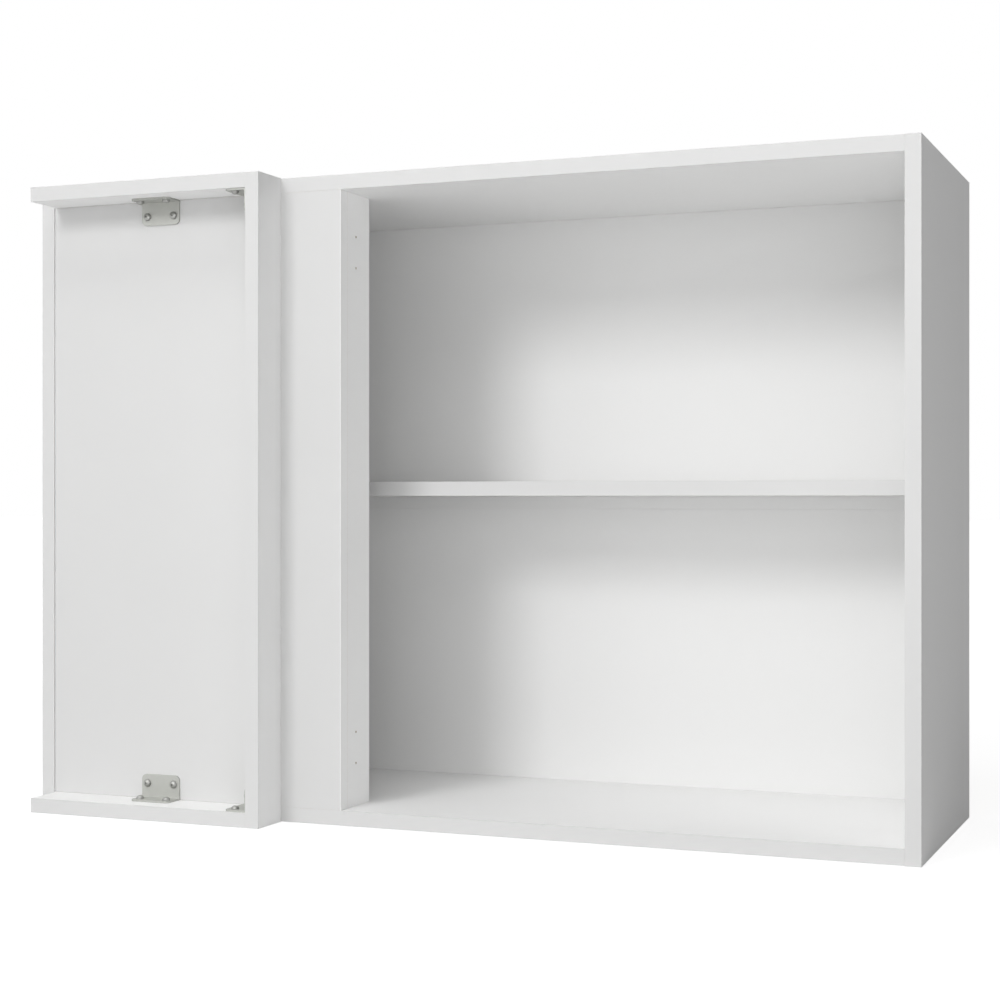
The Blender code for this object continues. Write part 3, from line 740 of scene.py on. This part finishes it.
def board_shape(node, edged, closed):
    """Return a rounded board with finish numbers, drawn up to its neighbours at its closed sides."""
    boards = bpy.context.scene.cabinet_boards
    low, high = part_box(node)
    for side in closed:
        reach = ways[side] * (seat_gap - boards.joint_gap)
        if sum(reach) < 0:
            low += reach
        else:
            high += reach
    shape = bmesh.new()
    add_box(shape, low, high)
    round_edges(shape, shape.edges[:], boards.edge_radius)
    banded = []
    for side in edged:
        way = ways[side]
        outside = high if sum(way) > 0 else low
        banded.append((way, outside))
        for depth in (boards.edging, boards.edging + boards.glue_line):
            bmesh.ops.bisect_plane(
                shape, geom=shape.verts[:] + shape.edges[:] + shape.faces[:], dist=bisect_distance,
                plane_co=outside - way * depth, plane_no=way,
            )
    size = high - low
    thin = min(range(3), key=lambda axis: size[axis])
    for face in shape.faces:
        face.material_index = board_zone(face, thin, banded, boards)
    return shape


def board_zone(face, thin, banded, boards):
    """Return the finish number of a board's face by where it lies."""
    middle = face.calc_center_median()
    steepest = max(range(3), key=lambda axis: abs(face.normal[axis]))
    for way, outside in banded:
        depth = (outside - middle).dot(way)
        if depth < boards.edging:
            # Front edges take the darker edging, painted shade; the other finished edges keep the face
            # white
            return edging_finish if way == ways["front"] else end_finish
        if depth < boards.edging + boards.glue_line and steepest == thin:
            return glue_finish
    return face_finish if steepest == thin else core_finish


def add_board(node, edged, closed=(), tool=None, rebate=None):
    """Add a board with its edging, its core in raw edges and bores, and a rebate in its own white."""
    finishes = board_finishes(node)
    shape = board_shape(node, edged, closed)
    if rebate is not None:
        paint(rebate, face_finish)
        shape = carve(shape, rebate, finishes)
    if tool is not None:
        paint(tool, core_finish)
        shape = carve(shape, tool, finishes)
    add_piece(node, mesh_of(shape, node, finishes))


def add_socket(tool, fitting, board, side, diameter):
    """Add the bore in which a fitting sits, from a board's surface towards a side."""
    way = ways[side]
    mouth = end_of(fitting, way)
    face = end_of(board, -way)
    depth = abs((mouth - face).dot(way)) + bore_end_clearance
    start = mouth + way * (bore_end_clearance - depth)
    add_bore(tool, start, way, diameter, depth)


def add_groove(tool, board, run):
    """Add the groove for the back in a board, right through along its run axis."""
    low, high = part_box("back_panel_lower")
    high.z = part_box("back_panel_upper")[1].z
    room = Vector((bore_end_clearance, bore_clearance, bore_end_clearance))
    board_low, board_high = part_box(board)
    low -= room
    high += room
    low[run] = board_low[run] - cut_overshoot
    high[run] = board_high[run] + cut_overshoot
    add_box(tool, low, high)


class CABINET_OT_side_panels(bpy.types.Operator):
    """Add the two side panels with their bores and back grooves"""

    bl_idname = "cabinet.side_panels"
    bl_label = "Side Panels"

    def execute(self, context):
        for side in ("left", "right"):
            node = f"{side}_side_panel"
            way = ways[side]
            tool = bmesh.new()
            add_groove(tool, node, 2)
            for row in ("front", "rear"):
                add_socket(tool, f"shelf_pin_{side}_{row}", node, side, pin_bore)
            low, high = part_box(f"hanger_housing_{side}")
            peg_end = end_of(f"hanger_housing_{side}", way)
            inner = end_of(node, -way)
            depth = abs(peg_end.x - inner.x) + bore_end_clearance
            middle = (low.y + high.y) / 2
            for step in pair_steps:
                mouth = Vector((inner.x, middle + step * peg_pitch, high.z - peg_below_top))
                add_bore(tool, mouth, way, peg_bore, depth)
            add_board(node, ("front", "top", "bottom"), (), tool)
        return {"FINISHED"}


class CABINET_OT_level_panels(bpy.types.Operator):
    """Add the top and bottom panels with their cam and dowel bores"""

    bl_idname = "cabinet.level_panels"
    bl_label = "Top and Bottom Panels"

    def execute(self, context):
        for side, inward in (("top", "bottom"), ("bottom", "top")):
            node = f"{side}_panel"
            tool = bmesh.new()
            add_groove(tool, node, 0)
            for number in range(1, 5):
                add_socket(tool, f"cam_fitting_{side}_{number}", node, inward, cam_bore)
            for board in ("blind_panel", "hinge_post"):
                add_socket(tool, f"{board}_dowel_{side}", node, side, dowel_bore)
            add_board(node, ("front",), ("left", "right"), tool)
        return {"FINISHED"}


class CABINET_OT_back(bpy.types.Operator):
    """Add the two hardboard back sheets and the plastic strip that joins them"""

    bl_idname = "cabinet.back"
    bl_label = "Back"

    def execute(self, context):
        radius = context.scene.cabinet_boards.sheet_radius
        finishes = [material("lacquered_hardboard"), material("raw_hardboard")]
        for node in ("back_panel_lower", "back_panel_upper"):
            shape = cad_copy(node)
            soften(shape, radius)
            for face in shape.faces:
                face.material_index = 0 if face.normal.dot(ways["front"]) > facing_share else 1
            add_piece(node, mesh_of(shape, node, finishes))
        add_softened("back_joint_strip", radius, "strip_plastic")
        return {"FINISHED"}


class CABINET_OT_shelf(bpy.types.Operator):
    """Add the loose shelf"""

    bl_idname = "cabinet.shelf"
    bl_label = "Shelf"

    def execute(self, context):
        add_board("shelf", ("front",))
        return {"FINISHED"}


class CABINET_OT_shelf_pins(bpy.types.Operator):
    """Add the four shelf pins"""

    bl_idname = "cabinet.shelf_pins"
    bl_label = "Shelf Pins"

    def execute(self, context):
        low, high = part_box("shelf_pin_left_front")
        top = high.x - low.x
        collar_high = top - pin_nose_length
        collar_low = collar_high - pin_collar_thickness
        profile = [(0, 0), *reversed(rounded_end(pin_shank, 0, pin_round, -1)), (pin_shank, collar_low)]
        profile += [(pin_collar, collar_low), (pin_collar, collar_high), (pin_nose, collar_high)]
        profile += [*rounded_end(pin_nose, top, pin_round, 1), (0, top)]
        mesh = mesh_of(turned(profile), "shelf_pin", [material("pin_nickel_plate")])
        for side in ("left", "right"):
            for row in ("front", "rear"):
                node = f"shelf_pin_{side}_{row}"
                add_piece(node, placed(mesh, aim(end_of(node, ways[side]), -ways[side])))
        return {"FINISHED"}


class CABINET_OT_blind_front(bpy.types.Operator):
    """Add the blind panel and the hinge post behind its free edge"""

    bl_idname = "cabinet.blind_front"
    bl_label = "Blind Panel and Hinge Post"

    def execute(self, context):
        tool = dowel_tool("blind_panel")
        for place in ("top_mid", "bottom_mid"):
            for number in (3, 4):
                add_socket(tool, f"bracket_screw_{place}_{number}", "blind_panel", "rear", screw_bore)
        groove = shadow_groove_tool()
        add_board("blind_panel", ("left", "right"), ("left", "top", "bottom"), tool, groove)
        tool = dowel_tool("hinge_post")
        for place in ("hinge_plate_upper", "hinge_plate_lower"):
            for step in pair_steps:
                mouth = mount_at[place] + ways["top"] * (step * hinge_bore_pitch)
                add_bore(tool, mouth, ways["left"], hinge_bore, hinge_bore_depth)
        add_board("hinge_post", ("rear",), ("front", "top", "bottom"), tool)
        return {"FINISHED"}


def shadow_groove_tool():
    """Return the tool for the shallow rebate along the front of the blind panel's left edge."""
    low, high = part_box("blind_panel")
    beyond = Vector((cut_overshoot, cut_overshoot, cut_overshoot))
    inner = Vector((low.x + shadow_groove_width, low.y + shadow_groove_depth, high.z + cut_overshoot))
    tool = bmesh.new()
    add_box(tool, low - beyond, inner)
    return tool


def dowel_tool(board):
    """Return the tool for the dowel bores in both ends of an upright board."""
    tool = bmesh.new()
    for side, inward in (("top", "bottom"), ("bottom", "top")):
        add_socket(tool, f"{board}_dowel_{side}", board, inward, dowel_bore)
    return tool


class CABINET_OT_dowels(bpy.types.Operator):
    """Add the fluted beech dowels of the blind panel and the hinge post"""

    bl_idname = "cabinet.dowels"
    bl_label = "Dowels"

    def execute(self, context):
        finishes = [material("beech_wood")]
        low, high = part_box("blind_panel_dowel_top")
        top = high.z - low.z
        narrow = dowel_radius - dowel_chamfer
        profile = [(0, 0), (narrow, 0), (dowel_radius, dowel_chamfer)]
        profile += [(dowel_radius, top - dowel_chamfer), (narrow, top), (0, top)]
        shape = turned(profile, 2 * round_sides)
        tool = bmesh.new()
        for flute in range(dowel_flutes):
            angle = 2 * math.pi * flute / dowel_flutes
            edge = Vector((math.cos(angle), math.sin(angle), 0)) * dowel_radius
            bmesh.ops.create_cone(
                tool, cap_ends=True, segments=bend_steps, radius1=flute_radius, radius2=flute_radius,
                depth=top + cut_overshoot, matrix=Matrix.Translation(edge + ways["top"] * top / 2),
            )
        mesh = mesh_of(carve(shape, tool, finishes), "dowel", finishes)
        for board in ("blind_panel", "hinge_post"):
            for side in ("top", "bottom"):
                node = f"{board}_dowel_{side}"
                add_piece(node, placed(mesh, aim(end_of(node, -ways[side]), ways[side])))
        return {"FINISHED"}


class CABINET_OT_filler_box(bpy.types.Operator):
    """Add the three boards of the filler box in front of the blind panel"""

    bl_idname = "cabinet.filler_box"
    bl_label = "Filler Box"

    def execute(self, context):
        end_tool = bmesh.new()
        for side in ("top", "bottom"):
            node = f"filler_{side}_board"
            tool = bmesh.new()
            for number in (1, 2):
                for place in ("mid", "end"):
                    screw = f"bracket_screw_{side}_{place}_{number}"
                    add_socket(tool, screw, node, side, screw_bore)
            for number in (3, 4):
                screw = f"bracket_screw_{side}_end_{number}"
                add_socket(end_tool, screw, "filler_return_board", "right", screw_bore)
            add_board(node, ("front", "left"), ("right", "rear"), tool)
        add_board("filler_return_board", ("front", "top", "bottom"), ("rear",), end_tool)
        return {"FINISHED"}


def bracket_legs(place):
    """Return the ways of a bracket's flat leg and its upright leg."""
    side, at = place.split("_")
    flat = ways["front"] if at == "mid" else ways["left"]
    upright = ways["bottom"] if side == "top" else ways["top"]
    return flat, upright


def bracket_mesh(node, rim):
    """Return a bracket with its corner at the origin, legs along X and Y, and width along Z."""
    finishes = [material("bracket_zinc_plate")]
    low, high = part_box(node)
    leg, reach, width = sorted(high - low)
    half = width / 2
    shape = bmesh.new()
    ends = [shape.verts.new((leg, height, -half)) for height in (0, bracket_thickness)]
    edges = [shape.edges.new(ends)]
    edges = extrude_edges(shape, edges, (bracket_bend - leg, 0, 0))
    bent = bmesh.ops.spin(
        shape, geom=edges, cent=(bracket_bend, bracket_bend, 0), axis=(0, 0, 1), angle=-math.pi / 2,
        steps=bend_steps,
    )
    edges = only(bent["geom_last"], bmesh.types.BMEdge)
    extrude_edges(shape, edges, (0, reach - bracket_bend, 0))
    swept = bmesh.ops.extrude_face_region(shape, geom=shape.faces[:])
    moved = only(swept["geom"], bmesh.types.BMVert)
    bmesh.ops.translate(shape, verts=moved, vec=(0, 0, width))
    tips = [edge for edge in shape.edges if is_tip(edge, leg, half)]
    round_edges(shape, tips, bracket_corner, bend_steps)
    tool = bmesh.new()
    depth = bracket_thickness + cut_overshoot
    for step in pair_steps:
        z = step * bracket_hole_pitch
        add_bore(tool, Vector((bracket_hole_setback, 0, z)), ways["rear"], bracket_hole, depth)
        add_bore(tool, Vector((0, bracket_hole_setback, z)), ways["right"], bracket_hole, depth)
    shape = carve(shape, tool, finishes)
    soften(shape, rim)
    return mesh_of(shape, "angle_bracket", finishes)


def extrude_edges(shape, edges, reach):
    """Extrude edges by a vector and return the new ones."""
    swept = bmesh.ops.extrude_edge_only(shape, edges=edges)
    moved = only(swept["geom"], bmesh.types.BMVert)
    bmesh.ops.translate(shape, verts=moved, vec=reach)
    made = only(swept["geom"], bmesh.types.BMEdge)
    return [edge for edge in made if all(vert in moved for vert in edge.verts)]


def is_tip(edge, leg, half):
    """Tell whether an edge is one of the corners at the ends of a bracket's legs."""
    gaps = [abs(edge.verts[0].co.z - edge.verts[1].co.z)]
    for vert in edge.verts:
        gaps += [abs(max(vert.co.x, vert.co.y) - leg), abs(abs(vert.co.z) - half)]
    return max(gaps) < touch_distance


class CABINET_OT_brackets(bpy.types.Operator):
    """Add the four angle brackets of the filler box, hard against their boards"""

    bl_idname = "cabinet.brackets"
    bl_label = "Angle Brackets"

    def execute(self, context):
        close = seat_gap - context.scene.cabinet_boards.joint_gap
        mesh = bracket_mesh("filler_bracket_top_mid", context.scene.cabinet_fittings.rim)
        for place in bracket_places:
            node = f"filler_bracket_{place}"
            flat, upright = bracket_legs(place)
            corner = end_of(node, -flat - upright) - (flat + upright) * close
            turn = Matrix((flat, upright, flat.cross(upright))).transposed().to_4x4()
            add_piece(node, placed(mesh, Matrix.Translation(corner) @ turn))
        return {"FINISHED"}


def screw_mesh():
    """Return a pan head screw along Z, with the underside of its head at the origin."""
    finishes = [material("screw_zinc_plate"), material("flank_zinc_plate")]
    crown = screw_head_height - screw_head_rim
    profile = [(0, -screw_length), (screw_core, screw_tip - screw_length)]
    profile += [(screw_core, 0), (screw_head, 0)]
    for angle in quarter(crown_steps)[:-1]:
        profile.append((screw_head * math.cos(angle), screw_head_rim + crown * math.sin(angle)))
    shape = turned([*profile, (0, screw_head_height)])
    # Faces of the head past the flank's radius take the darker flank finish, painted shade in a ring
    # around the head
    for face in shape.faces:
        middle = face.calc_center_median()
        face.material_index = int(middle.z > 0 and middle.xy.length > shaded_flank_radius)
    low = screw_tip / 2 - screw_length
    shape = add_thread(shape, finishes, screw_core, screw_radius, screw_pitch, low, -screw_pitch)
    shape = cut_cross(shape, finishes, screw_recess, screw_head_height, 1)
    return mesh_of(shape, "pan_head_screw", finishes)


class CABINET_OT_bracket_screws(bpy.types.Operator):
    """Add the sixteen pan head screws, down on their brackets"""

    bl_idname = "cabinet.bracket_screws"
    bl_label = "Bracket Screws"

    def execute(self, context):
        close = 2 * (seat_gap - context.scene.cabinet_boards.joint_gap)
        mesh = screw_mesh()
        turn = 0.0
        for place in bracket_places:
            flat, upright = bracket_legs(place)
            for number, outward in ((1, upright), (2, upright), (3, flat), (4, flat)):
                node = f"bracket_screw_{place}_{number}"
                seat = end_of(node, outward) - outward * (screw_head_height + close)
                turn += screw_turn
                add_piece(node, placed(mesh, aim(seat, outward, turn)))
        return {"FINISHED"}


class CABINET_OT_cams(bpy.types.Operator):
    """Add the cams in the outer faces of the top and bottom panels"""

    bl_idname = "cabinet.cams"
    bl_label = "Cams"

    def execute(self, context):
        finishes = [material("cast_zinc")]
        low, high = -cam_waist_high, -cam_waist_low
        profile = [(0, -cam_height), *reversed(rounded_end(cam_radius, -cam_height, cam_rim, -1))]
        profile += [(cam_radius, low), (cam_waist, low + cam_rim), (cam_waist, high - cam_rim)]
        profile += [(cam_radius, high), *rounded_end(cam_radius, 0, cam_rim, 1), (0, 0)]
        shape = cut_cross(turned(profile), finishes, cam_recess, 0, 1)
        mesh = mesh_of(shape, "cam", finishes)
        for side in ("top", "bottom"):
            for number in range(1, 5):
                node = f"cam_fitting_{side}_{number}"
                add_piece(node, placed(mesh, aim(end_of(node, ways[side]), ways[side])))
        return {"FINISHED"}


class CABINET_OT_hanger_bodies(bpy.types.Operator):
    """Add the hanger housings, carriages and hooks"""

    bl_idname = "cabinet.hanger_bodies"
    bl_label = "Hanger Bodies"

    def execute(self, context):
        fittings = context.scene.cabinet_fittings
        for side in ("left", "right"):
            node = f"hanger_housing_{side}"
            shape = cad_copy(node)
            inward = -ways[side]
            cover = max(shape.faces, key=lambda face: face.normal.dot(inward) * face.calc_area())
            bmesh.ops.inset_region(
                shape, faces=[cover], thickness=housing_panel_margin, depth=-housing_panel_depth,
            )
            soften(shape, fittings.moulded_rim)
            add_piece(node, mesh_of(shape, node, [material("moulded_plastic")]))
            for kind, finish in (("carriage", "cast_zinc"), ("hook", "hook_zinc_plate")):
                add_softened(f"hanger_{kind}_{side}", fittings.rim, finish)
        return {"FINISHED"}


def adjuster_mesh(node, way, plate):
    """Return an adjusting screw along Z with its head at the origin, held by its neck in a plate."""
    finishes = [material("hook_zinc_plate")]
    low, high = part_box(node)
    top = abs((high - low).dot(way))
    neck_end = adjuster_head_height + 2 * seat_gap + plate
    collar_end = neck_end + adjuster_collar_height
    profile = [(0, 0), *reversed(rounded_end(adjuster_head, 0, pin_round, -1))]
    profile += [(adjuster_head, adjuster_head_height), (adjuster_neck, adjuster_head_height)]
    profile += [(adjuster_neck, neck_end), (adjuster_collar, neck_end), (adjuster_collar, collar_end)]
    profile += [(adjuster_core, collar_end), (adjuster_core, top), (0, top)]
    start = collar_end + adjuster_pitch / 2
    shape = add_thread(
        turned(profile), finishes, adjuster_core, adjuster_radius, adjuster_pitch, start,
        top - adjuster_pitch / 2,
    )
    shape = cut_cross(shape, finishes, adjuster_recess, 0, -1)
    return mesh_of(shape, "adjuster", finishes)


class CABINET_OT_hanger_screws(bpy.types.Operator):
    """Add the lift and depth adjusters of the hangers"""

    bl_idname = "cabinet.hanger_screws"
    bl_label = "Hanger Adjusters"

    def execute(self, context):
        for kind, end, plate in (("lift", "top", lift_plate), ("depth", "rear", depth_plate)):
            way = ways[end]
            mesh = adjuster_mesh(f"hanger_{kind}_screw_left", way, plate)
            for side in ("left", "right"):
                node = f"hanger_{kind}_screw_{side}"
                add_piece(node, placed(mesh, aim(end_of(node, -way), way)))
        return {"FINISHED"}


class CABINET_OT_studio(bpy.types.Operator):
    """Add the floor, the lamps, the surroundings and the camera"""

    bl_idname = "cabinet.studio"
    bl_label = "Studio"

    def execute(self, context):
        studio = context.scene.cabinet_studio
        add_floor(studio)
        add_surroundings(studio)
        add_lamp("key_lamp", studio.key, width=1.0, azimuth=-16, distance=3.5, height=2.2)
        add_lamp("broad_lamp", studio.broad, width=2.0, azimuth=10, distance=2.6, height=2.3)
        add_lamp("low_fill_lamp", studio.low_fill, width=2.0, azimuth=35, distance=2.6, height=0.55)
        add_lamp("overhead_lamp", studio.overhead, width=2.0, azimuth=0, distance=1.3, height=3.4)
        add_camera(studio)
        context.scene.view_settings.view_transform = "Standard"
        return {"FINISHED"}


def add_floor(studio):
    """Add a pale floor that looks white to the camera and keeps the object's shadow."""
    made = bpy.data.materials.new("pale_floor")
    made.use_nodes = True
    tree = made.node_tree
    tree.nodes.clear()
    floor = Finish(tree)
    seen = seen_directly(floor)
    mottle = floor.noise(0.4)
    shade = floor.mix(mottle, tint(studio.floor, 0.995), tint(studio.floor, 1.005))
    lit = floor.node("ShaderNodeBsdfDiffuse", None, {"Color": shade})
    faint = floor.node("ShaderNodeBsdfDiffuse", None, {"Color": tint(studio.floor, floor_shadow)})
    away = floor.node("ShaderNodeVectorMath", {"operation": "LENGTH"}, {0: floor.place(1.0)}, "Value")
    fade = floor.node(
        "ShaderNodeMapRange", None, {"Value": away, "From Min": fade_start, "From Max": fade_end},
    )
    pale = floor.mix(fade, tint((1, 1, 1), floor_glow), tint((1, 1, 1)))
    white = floor.node("ShaderNodeEmission", None, {"Color": pale, "Strength": 1.0})
    bright = floor.node("ShaderNodeAddShader", None, {0: faint, 1: white})
    both = floor.node("ShaderNodeMixShader", None, {0: seen, 1: lit, 2: bright})
    floor.node("ShaderNodeOutputMaterial", None, {"Surface": both})
    shape = bmesh.new()
    level = Matrix.Translation((0, 0, cad_low[2] - floor_below))
    bmesh.ops.create_grid(shape, x_segments=1, y_segments=1, size=floor_reach, matrix=level)
    link_object("floor", mesh_of(shape, "floor", [made]))


def seen_directly(finish):
    """Return 1 for what the camera or a reflection sees, and 0 for what lights a surface."""
    rays = ("Is Camera Ray", "Is Glossy Ray", "Is Transmission Ray")
    camera, glossy, through = (finish.node("ShaderNodeLightPath", output=ray) for ray in rays)
    return camera + glossy + through > 0.5


def add_surroundings(studio):
    """Surround the cabinet with soft light, and with white for the camera and for reflections."""
    world = bpy.data.worlds.new("surroundings")
    world.use_nodes = True
    world.node_tree.nodes.clear()
    sky = Finish(world.node_tree)
    here = sky.node("ShaderNodeTexCoord", output="Generated")
    east, north = (sky.node("ShaderNodeSeparateXYZ", None, {0: here}, axis) for axis in "XY")
    glow = studio.front_glow * towards(sky, -1.0 * north) + studio.left_glow * towards(sky, -1.0 * east)
    seen = seen_directly(sky)
    power = glow * (1.0 - seen) + seen
    light = sky.node("ShaderNodeBackground", None, {"Color": (1, 1, 1, 1), "Strength": power})
    sky.node("ShaderNodeOutputWorld", None, {"Surface": light})
    bpy.context.scene.world = world


def towards(sky, share):
    """Return a soft lobe of light on the side where a direction's share is positive."""
    return sky.node("ShaderNodeMath", {"operation": "MAXIMUM"}, {0: share, 1: 0.0}) ** 2.0


def add_lamp(name, power, width, azimuth, distance, height):
    """Add a soft lamp, one metre high, that faces the cabinet, by its azimuth in degrees."""
    data = bpy.data.lights.new(name, "AREA")
    data.energy = power
    data.shape = "RECTANGLE"
    data.size, data.size_y = width, 1.0
    lamp = link_object(name, data)
    turn = math.radians(azimuth)
    lamp.location = (distance * math.sin(turn), lamp_target.y - distance * math.cos(turn), height)
    lamp.rotation_euler = (lamp.location - lamp_target).to_track_quat("Z", "Y").to_euler()


def add_camera(studio):
    """Add the camera, level with the middle of the cabinet and to its right."""
    data = bpy.data.cameras.new("camera")
    data.sensor_width = sensor_width * 1000
    data.lens = studio.lens * 1000
    camera = link_object("camera", data)
    camera.location = camera_place
    camera.rotation_euler = (math.radians(90), 0, camera_turn)
    bpy.context.scene.camera = camera


class CABINET_PT_cabinet(bpy.types.Panel):
    """Lists the cabinet's operators and settings"""

    bl_idname = "CABINET_PT_cabinet"
    bl_label = "Corner Wall Cabinet"
    bl_space_type = "VIEW_3D"
    bl_region_type = "UI"
    bl_category = "Cabinet"

    def draw(self, context):
        column = self.layout.column()
        for operator in operators:
            column.operator(operator.bl_idname)
        for name in settings:
            box = self.layout.box()
            group = getattr(context.scene, name)
            for key in group.__annotations__:
                box.prop(group, key)


operators = (
    CABINET_OT_side_panels,
    CABINET_OT_level_panels,
    CABINET_OT_back,
    CABINET_OT_shelf,
    CABINET_OT_shelf_pins,
    CABINET_OT_blind_front,
    CABINET_OT_dowels,
    CABINET_OT_filler_box,
    CABINET_OT_brackets,
    CABINET_OT_bracket_screws,
    CABINET_OT_cams,
    CABINET_OT_hanger_bodies,
    CABINET_OT_hanger_screws,
    CABINET_OT_studio,
)
settings = {
    "cabinet_boards": BoardSettings,
    "cabinet_fittings": FittingSettings,
    "cabinet_studio": StudioSettings,
}
classes = (*settings.values(), *operators, CABINET_PT_cabinet)


def register():
    """Register the classes and give the scene its settings."""
    for each in classes:
        bpy.utils.register_class(each)
    for name, group in settings.items():
        setattr(bpy.types.Scene, name, PointerProperty(type=group))


def unregister():
    """Take the settings and the classes away again."""
    for name in settings:
        delattr(bpy.types.Scene, name)
    for each in reversed(classes):
        bpy.utils.unregister_class(each)


def main():
    """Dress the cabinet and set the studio."""
    register()
    bpy.ops.cabinet.side_panels()
    bpy.ops.cabinet.level_panels()
    bpy.ops.cabinet.back()
    bpy.ops.cabinet.shelf()
    bpy.ops.cabinet.shelf_pins()
    bpy.ops.cabinet.blind_front()
    bpy.ops.cabinet.dowels()
    bpy.ops.cabinet.filler_box()
    bpy.ops.cabinet.brackets()
    bpy.ops.cabinet.bracket_screws()
    bpy.ops.cabinet.cams()
    bpy.ops.cabinet.hanger_bodies()
    bpy.ops.cabinet.hanger_screws()
    bpy.ops.cabinet.studio()


if __name__ == "__main__":
    main()
